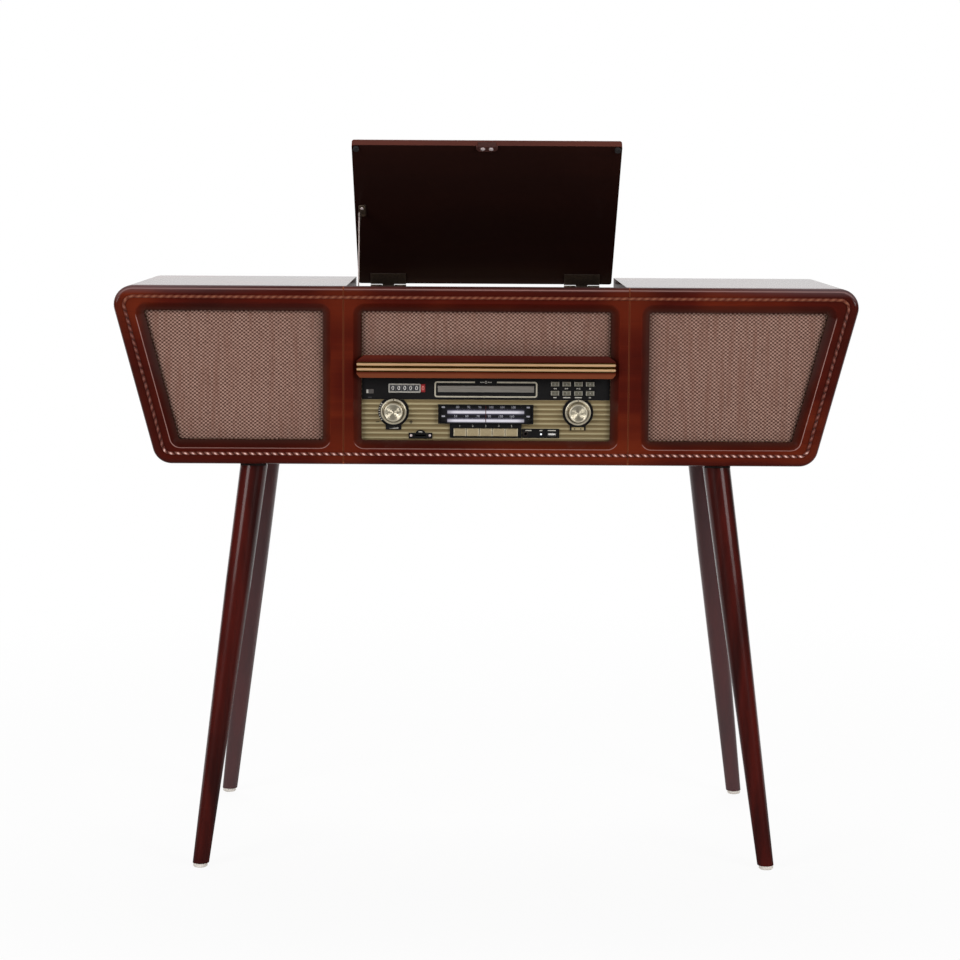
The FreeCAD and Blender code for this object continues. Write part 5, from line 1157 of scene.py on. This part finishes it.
# Column, way of an arrow or 0 for a bar, and its place and half width as shares of a sign's size
TRANSPORT_SIGNS = [
    (0, -1, -0.55, 0), (0, -1, 0.55, 0), (1, 1, -0.55, 0), (1, 1, 0.55, 0),
    (2, 1, -0.6, 0), (2, 0, 0.35, 0.15), (2, 0, 0.9, 0.15), (3, 0, 0, 0.5)]


def button_signs():
    """Transport signs between the rows of buttons and plain bars below them."""
    columns = [middle_of(f"preset_button_{number}")[0] for number in range(1, 5)]
    signs = Shape()
    for column, way, place, half in TRANSPORT_SIGNS:
        x = columns[column] + place * SIGN_SIZE
        if way:
            signs.plate(arrow(x, BUTTON_SIGN_Z, SIGN_SIZE, way), STRIP_FRONT_Y)
        else:
            signs.bar(x, BUTTON_SIGN_Z, half * SIGN_SIZE, SIGN_SIZE / 2, STRIP_FRONT_Y)
    for x, half in zip(columns, BUTTON_NOTE_HALVES):
        signs.bar(x, BUTTON_NOTE_Z, half, BUTTON_NOTE_RISE, STRIP_FRONT_Y)
    signs.build("button_signs", "button_grey", "print_pale")


def button_faces():
    """An inlay and a figure on each button."""
    for number in range(1, 9):
        face = inner(f"preset_button_{number}", BUTTON_BORDER, BUTTON_CORNER)
        x, y, z = middle_of(f"preset_button_{number}")
        depth = BUTTON_INLAY_FOOT + PRINT_DEPTH
        inlay = Shape().plate(face, y + BUTTON_INLAY_FOOT, depth, BUTTON_INLAY_EDGE)
        inlay.build(f"button_face_{number}", "button_grey", "button_inlay", f"button_{number}")
        figure = Shape().text(str(number), BUTTON_FIGURE_SIZE, (x, y - PRINT_DEPTH, z), BUTTON_FIGURE_DEPTH)
        figure.build(f"button_figure_{number}", "button_grey", "print_pale", f"button_{number}")


# Dial and keys
DIAL_FLOOR_Y = -162.0 * MM
DIAL_CARD_DEPTH = 0.2 * MM
DIAL_CARD_INSET = 0.3 * MM
# Height of each row's figures, their first and last place, the figures and the foot of the ticks
DIAL_ROWS = [
    (670.4 * MM, -41 * MM, 40 * MM, ("88", "92", "96", "100", "104", "108"), 665.9 * MM),
    (657.1 * MM, -44 * MM, 38 * MM, ("54", "60", "70", "90", "120", "160"), 653.5 * MM)]
DIAL_FIGURE_SIZE = 4.8 * MM
DIAL_TICKS = 41
DIAL_TICK_HALF = 0.15 * MM
DIAL_TICK_LONG, DIAL_TICK_SHORT = 1.1 * MM, 0.6 * MM
DIAL_LONG_EVERY = 4
DIAL_END_X = 62 * MM
DIAL_END_HALVES = (2.4 * MM, 1.1 * MM)
DIAL_END_CORNER = 0.5 * MM
KEY_SIGN_Z = 642.9 * MM
KEY_FRAME_FRONT_Y = -163.4 * MM
KEY_FIGURE_SIZE = 4.4 * MM


def dial_scale():
    """The dial's card with two rows of figures and ticks."""
    card = Shape().plate(inner("dial_glass", DIAL_CARD_INSET), DIAL_FLOOR_Y, DIAL_CARD_DEPTH)
    card.build("dial_card", "black_plastic", "dial_card")
    front = DIAL_FLOOR_Y - DIAL_CARD_DEPTH
    figures, ticks = Shape(), Shape()
    for z, left, right, numbers, foot in DIAL_ROWS:
        for x, number in zip(evenly(left, right, len(numbers)), numbers):
            figures.text(number, DIAL_FIGURE_SIZE, (x, front, z))
        for index, x in enumerate(evenly(left, right, DIAL_TICKS)):
            height = DIAL_TICK_SHORT if index % DIAL_LONG_EVERY else DIAL_TICK_LONG
            ticks.plate(rectangle(x - DIAL_TICK_HALF, x + DIAL_TICK_HALF, foot, foot + height), front)
        for side in (-1, 1):
            figures.bar(side * DIAL_END_X, z, *DIAL_END_HALVES, front, corner=DIAL_END_CORNER)
    figures.build("dial_figures", "black_plastic", "dial_print")
    ticks.build("dial_ticks", "black_plastic", "dial_print")


def key_signs():
    signs = Shape()
    for number in range(1, 6):
        x, _, _ = middle_of(f"mode_key_{number}")
        signs.text(str(number), KEY_FIGURE_SIZE, (x, KEY_FRAME_FRONT_Y, KEY_SIGN_Z))
    signs.build("key_signs", "black_plastic", "print_pale")


# Ports
JACK_PLACE = (58.5 * MM, 631.8 * MM)
# Radius and height of the jack's washer, in millimetres
JACK_PROFILE = [(3.9, 0.0), (3.9, 0.5), (3.5, 0.8), (2.3, 0.8), (2.1, 0.4), (2.1, 0.0)]
USB_LEFT, USB_RIGHT = 90.2 * MM, 103.4 * MM
USB_LOW, USB_HIGH = 628.2 * MM, 633.4 * MM
USB_CORNER = 0.6 * MM
USB_DEPTH = 9 * MM
USB_LIP = 0.3 * MM
USB_GAP, USB_SHELL = 0.05 * MM, 0.6 * MM
CARD_MIDDLE = -95.25 * MM
CARD_TOP = 632.6 * MM
CARD_ARCH_HALVES = (6.8 * MM, 4.2 * MM)
CARD_ARCH_SINK = 0.2 * MM
CARD_ARCH_EDGE = 0.3 * MM
CARD_ARCH_STEPS = 12
CARD_SCREW_Z = 628.6 * MM
CARD_SCREW_SPREAD = 13.7 * MM
# A head with a round recess for the driver: radius and height in millimetres
CARD_SCREW_PROFILE = [
    (1.9, 0.0), (1.9, 0.315), (1.634, 0.675), (1.045, 0.9), (0.95, 0.54), (0.076, 0.54)]


def port_fittings():
    """The jack's washer and the USB socket's shell."""
    x, z = JACK_PLACE
    washer = Shape().lathe(turned(JACK_PROFILE), (x, PORT_FRONT_Y, z), steps=32, closed=True)
    washer.build("jack_washer", "black_plastic", "dark_paint")
    mouth = rectangle(USB_LEFT, USB_RIGHT, USB_LOW, USB_HIGH, USB_CORNER)
    back, front = PORT_FRONT_Y + USB_DEPTH, PORT_FRONT_Y - USB_LIP
    liner = Shape().levels(
        mouth, (back, USB_GAP), (front, USB_GAP), (front, USB_SHELL), (back, USB_SHELL), closed=True)
    liner.build("usb_liner", "steel")


def card_slot():
    """An arch above the memory card's slot, and two screws beside it."""
    half, rise = CARD_ARCH_HALVES
    low = CARD_TOP - CARD_ARCH_SINK
    arch = [(CARD_MIDDLE + half * math.cos(angle), low + rise * math.sin(angle))
            for angle in evenly(0, math.pi, CARD_ARCH_STEPS + 1)]
    plate = Shape().plate(arch, RIB_FRONT_Y, RIB_FRONT_Y - PORT_FRONT_Y, CARD_ARCH_EDGE)
    plate.build("card_arch", "black_plastic")
    screws = Shape()
    for side in (-1, 1):
        place = (CARD_MIDDLE + side * CARD_SCREW_SPREAD, PORT_FRONT_Y, CARD_SCREW_Z)
        screws.lathe(turned(CARD_SCREW_PROFILE), place, steps=20)
    screws.build("card_screws", "steel", "bright_metal")


# Plain bars on the panel
TONGUE_END_Y = PORT_FRONT_Y + 10 * MM
# Depth, front edge, corner and steps of a bar that isn't only printed
WINDOW_FORM = (0.9 * MM, 0.3 * MM, 1 * MM, 4)
LENS_FORM = (1.05 * MM,)
TONGUE_FORM = (9.6 * MM, 0.2 * MM)
INDICATOR_FORM = (0.7 * MM, 0.3 * MM, 0.4 * MM)
# Piece, slot, finish, surface, form, and each bar's X, Z and half sides in millimetres
BARS = [
    ("level_signs", "gold_plate", "print_dark", RIB_FRONT_Y, (),
     [(-158, 648.2, 2.6, 0.6), (-109, 648.2, 2.6, 0.6), (-109, 646.6, 0.6, 1), (-109, 649.8, 0.6, 1)]),
    ("tuning_tab", "gold_plate", "", BEZEL_FRONT_Y, (), [(134.5, 639.6, 9, 2.4)]),
    ("sensor_window", "black_plastic", "sensor_grey", STRIP_FRONT_Y, WINDOW_FORM, [(-169.2, 693, 5.6, 3.2)]),
    ("sensor_lens", "black_plastic", "print_pale", STRIP_FRONT_Y, LENS_FORM, [(-172.8, 693, 1.4, 2.6)]),
    ("sensor_sign", "black_plastic", "drum_dark", STRIP_FRONT_Y, (), [(-169.2, 684.1, 2.6, 0.7)]),
    ("usb_tongue", "grey_plastic", "print_white", TONGUE_END_Y, TONGUE_FORM, [(96.8, 631.25, 5.6, 1.35)]),
    ("port_signs", "black_plastic", "print_pale", PORT_FRONT_Y, (),
     [(96.8, 636.8, 5.8, 0.7), (80.9, 636.8, 2, 0.7), (62.5, 636.8, 4.4, 0.7)]),
    ("indicator_lens", "lamp", "led_white", PORT_FRONT_Y, INDICATOR_FORM, [(80.9, 631.3, 1.2, 1.2)]),
    ("card_sign", "black_plastic", "print_pale", PORT_FRONT_Y, (), [(-95.25, 633.9, 2.8, 0.7)])]


def plain_bars():
    """Level signs, tabs, the remote sensor, the USB tongue, the indicator and the bars above the ports."""
    for name, slot, finish, surface, form, bars in BARS:
        shape = Shape()
        for bar in bars:
            shape.bar(*[size * MM for size in bar], surface, *form)
        shape.build(name, slot, finish)


# Turntable and lid pieces
MAT_INNER, MAT_OUTER = 6.0 * MM, 112.0 * MM
MAT_EDGE = 0.4 * MM
MAT_BORDER = 3 * MM
MAT_SINK = 0.7 * MM
MAT_LABEL = 52 * MM
MAT_LABEL_SLOPE = 1 * MM
MAT_RINGS = 26


def grooved_mat():
    """A rubber mat with raised rings and a sunk place for a label."""
    low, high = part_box("platter_mat")
    middle = (low + high) / 2
    centre = (middle.x, middle.y, 0)
    top, sunk = high.z, high.z - MAT_SINK
    profile = [
        (MAT_INNER, low.z), (MAT_OUTER, low.z), (MAT_OUTER, top - MAT_EDGE), (MAT_OUTER - MAT_EDGE, top)]
    pitch = (MAT_OUTER - MAT_BORDER - MAT_LABEL) / MAT_RINGS
    for ring in range(MAT_RINGS):
        start = MAT_OUTER - MAT_BORDER - ring * pitch
        for share, z in ((0.0, top), (0.25, sunk), (0.5, sunk), (0.75, top)):
            profile.append((start - share * pitch, z))
    profile += [(MAT_LABEL, top), (MAT_LABEL - MAT_LABEL_SLOPE, sunk), (MAT_INNER, sunk)]
    mat = Shape().lathe(profile, centre, "z", 128, closed=True)
    mat.build("platter_mat_ringed", "rubber", body="platter", stands_for=["platter_mat"])


LID_TURN = Matrix.Translation(LID_AXIS) @ Matrix.Rotation(-LID_OPEN, 4, "X") @ Matrix.Translation(-LID_AXIS)
PULL_UNDER_Z = 831 * MM
PULL_SCREW_Y = -153.6 * MM
PULL_SCREW_SPREAD = 6.2 * MM
PULL_SCREW_RADIUS = 3.4 * MM
PULL_SCREW_HEIGHT = 1.0 * MM
STAY_SCREW_RADIUS = 2.6 * MM
STAY_SCREW_HEIGHT = 2.1 * MM
STAY_SCREW_SHIFT = Vector((0, -6 * MM, -0.3 * MM))
STAY_PLATE_PLACE = Vector((-189.2 * MM, -7.9 * MM, 832.4 * MM))
STAY_PLATE_HALVES = (5.0 * MM, 13 * MM)
STAY_PLATE_FOOT = 0.2 * MM
# Depth, edge, corner and steps
STAY_PLATE_FORM = (0.6 * MM, 0.2 * MM, 3.5 * MM, 5)
# A plain dome from its edge to its crown, as shares of its radius and height
DOME_SHARES = [(1.0, 0.0), (0.98, 0.3), (0.86, 0.6), (0.62, 0.84), (0.32, 0.96), (0.04, 1.0)]


def domed_screw(shape, place, radius, height):
    """A plain domed head facing down."""
    return shape.lathe([(across * radius, -down * height) for across, down in DOME_SHARES], place, "z", 24)


def lid_screws():
    """Bright screws under the lid's pull and a screwed plate for its stay, made closed and swung open."""
    screws = Shape()
    for side in (-1, 1):
        place = (side * PULL_SCREW_SPREAD, PULL_SCREW_Y, PULL_UNDER_Z)
        domed_screw(screws, place, PULL_SCREW_RADIUS, PULL_SCREW_HEIGHT)
    screws.moved(LID_TURN).build("pull_screws", "steel", "bright_metal", "lid")
    flat = Matrix.Translation(STAY_PLATE_PLACE) @ Matrix.Rotation(math.pi / 2, 4, "X")
    plate = Shape().bar(0, 0, *STAY_PLATE_HALVES, STAY_PLATE_FOOT, *STAY_PLATE_FORM)
    plate.moved(LID_TURN @ flat).build("stay_plate", "steel", "stay_bronze", "lid")
    head = domed_screw(Shape(), STAY_PLATE_PLACE + STAY_SCREW_SHIFT, STAY_SCREW_RADIUS, STAY_SCREW_HEIGHT)
    head.moved(LID_TURN).build("stay_screw", "steel", "bright_metal", "lid")


# Scene
def camera():
    data = bpy.data.cameras.new("camera")
    data.sensor_width = SENSOR_WIDTH
    data.lens = FOCAL_PIXELS / IMAGE_PIXELS * SENSOR_WIDTH
    data.clip_end = CLIP_END
    turns = ((CAMERA_YAW, "Z"), (math.pi / 2 - CAMERA_PITCH, "X"), (CAMERA_ROLL, "Z"))
    matrix = Matrix.Translation(CAMERA_PLACE)
    for angle, axis in turns:
        matrix = matrix @ Matrix.Rotation(angle, 4, axis)
    holder = placed("camera", data)
    holder.matrix_world = matrix
    bpy.context.scene.camera = holder


AMBIENT = 0.3
ROOM_IN_FRONT = 0.02


def world():
    """White to the camera and through glass; reflections see a white backdrop and a dim room in front."""
    made = bpy.data.worlds.new("studio")
    bpy.context.scene.world = made
    paint = Paint(made)
    glossy = paint.ray("Glossy")
    _, back, _ = paint.axes("Generated")
    backdrop = ROOM_IN_FRONT + back.step(0.4, 0.85) * (1 - ROOM_IN_FRONT)
    seen = paint.ray("Camera").most(paint.ray("Transmission"))
    unseen = glossy * backdrop + (1 - glossy) * AMBIENT
    background = paint.tree.nodes["Background"].inputs
    paint.join(background["Color"], WHITE)
    paint.join(background["Strength"], seen + (1 - seen) * unseen)


def stage_sheet(name, points):
    """A flat piece of the stage and the paint of its material."""
    mesh = bpy.data.meshes.new(name)
    mesh.from_pydata(points, [], [list(range(len(points)))])
    made = placed(name, mesh)
    paint = new_paint(name)
    mesh.materials.append(paint.owner)
    return made, paint


FLOOR_RADIUS = 6.0
FLOOR_DROP = 0.3 * MM
FLOOR_STEPS = 64
FLOOR_PALE = (246, 246, 246)
FLOOR_DIM = (80, 80, 80)
FLOOR_WHITE = 0.92
# Where the floor runs out, by distance from its middle, and where it lies behind the part, by Y
FLOOR_FADE = (0.6, 2.2)
FLOOR_BEHIND = (-0.5, 1.0)


def floor():
    """A pale floor that keeps the shadow, runs out into the white backdrop and mirrors dark in front."""
    angles = [TURN * step / FLOOR_STEPS for step in range(FLOOR_STEPS)]
    _, paint = stage_sheet("floor", [
        (FLOOR_RADIUS * math.cos(angle), FLOOR_RADIUS * math.sin(angle), -FLOOR_DROP) for angle in angles])
    x, y, _ = paint.axes()
    glossy = paint.ray("Glossy")
    far = ((x * x + y * y) ** 0.5).step(*FLOOR_FADE)
    behind = y.step(*FLOOR_BEHIND)
    factor = paint.ray("Camera") * (FLOOR_WHITE + far * (1 - FLOOR_WHITE)) + glossy * far * behind
    colour = paint.mix(glossy * (1 - behind), FLOOR_PALE, FLOOR_DIM)
    lit = paint.surface(colour, 0.9, specular_ior_level=0.0)
    paint.blend(factor, lit, paint.glow(1.0))


CARD_Y = -0.27
CARD_HALF_WIDTH = 1.3
CARD_LOW = CABINET_HIGH + 3 * MM
CARD_HIGH = 1.03
CARD_FADE = 0.06
CARD_GREY = 0.3


def studio_card():
    """A dim card in front of the polished top, seen only in reflections, which it keeps softboxes out of."""
    outline = rectangle(-CARD_HALF_WIDTH, CARD_HALF_WIDTH, CARD_LOW, CARD_HIGH)
    made, paint = stage_sheet("studio_card", [(x, CARD_Y, z) for x, z in outline])
    for ray in ("camera", "diffuse", "transmission", "volume_scatter", "shadow"):
        setattr(made, "visible_" + ray, False)
    _, _, z = paint.axes()
    fade = z.step(CARD_HIGH - CARD_FADE, CARD_HIGH)
    paint.blend(fade, paint.glow(CARD_GREY), paint.node("BsdfTransparent"))


# Name, place, aim, width, height and power
SOFTBOXES = [
    ("left_softbox", (-2.3, -2.6, 1.75), (0, 0, 0.72), 1.4, 1.6, 46),
    ("right_softbox", (2.3, -2.6, 1.75), (0, 0, 0.72), 1.4, 1.6, 46),
    ("top_softbox", (0, 1.4, 2.9), (0, 0, 0.8), 2.6, 1.4, 46)]


def lights():
    for name, place, aim, width, height, power in SOFTBOXES:
        data = bpy.data.lights.new(name, "AREA")
        data.shape = "RECTANGLE"
        data.size = width
        data.size_y = height
        data.energy = power
        holder = placed(name, data)
        holder.location = place
        holder.rotation_euler = (Vector(aim) - Vector(place)).to_track_quat("-Z", "Y").to_euler()
        holder.visible_camera = False


dress_nodes()
ease_edges(0.7 * MM, "front_frame", "rail_ledge", "lid_panel")
ease_edges(0.3 * MM, "cd_tray", "counter", "panel_bezels", *[f"mode_key_{n}" for n in range(1, 6)])
rope_moulding()
grille_panels()
spun_knob("volume_knob", "volume", -1)
spun_knob("tuning_knob", "tuning", 1)
counter_wheels()
disc_frame()
button_signs()
button_faces()
dial_scale()
key_signs()
knob_signs()
rail_beads()
port_fittings()
card_slot()
plain_bars()
grooved_mat()
lid_screws()
camera()
world()
floor()
studio_card()
lights()
bpy.context.scene.view_settings.view_transform = "Standard"
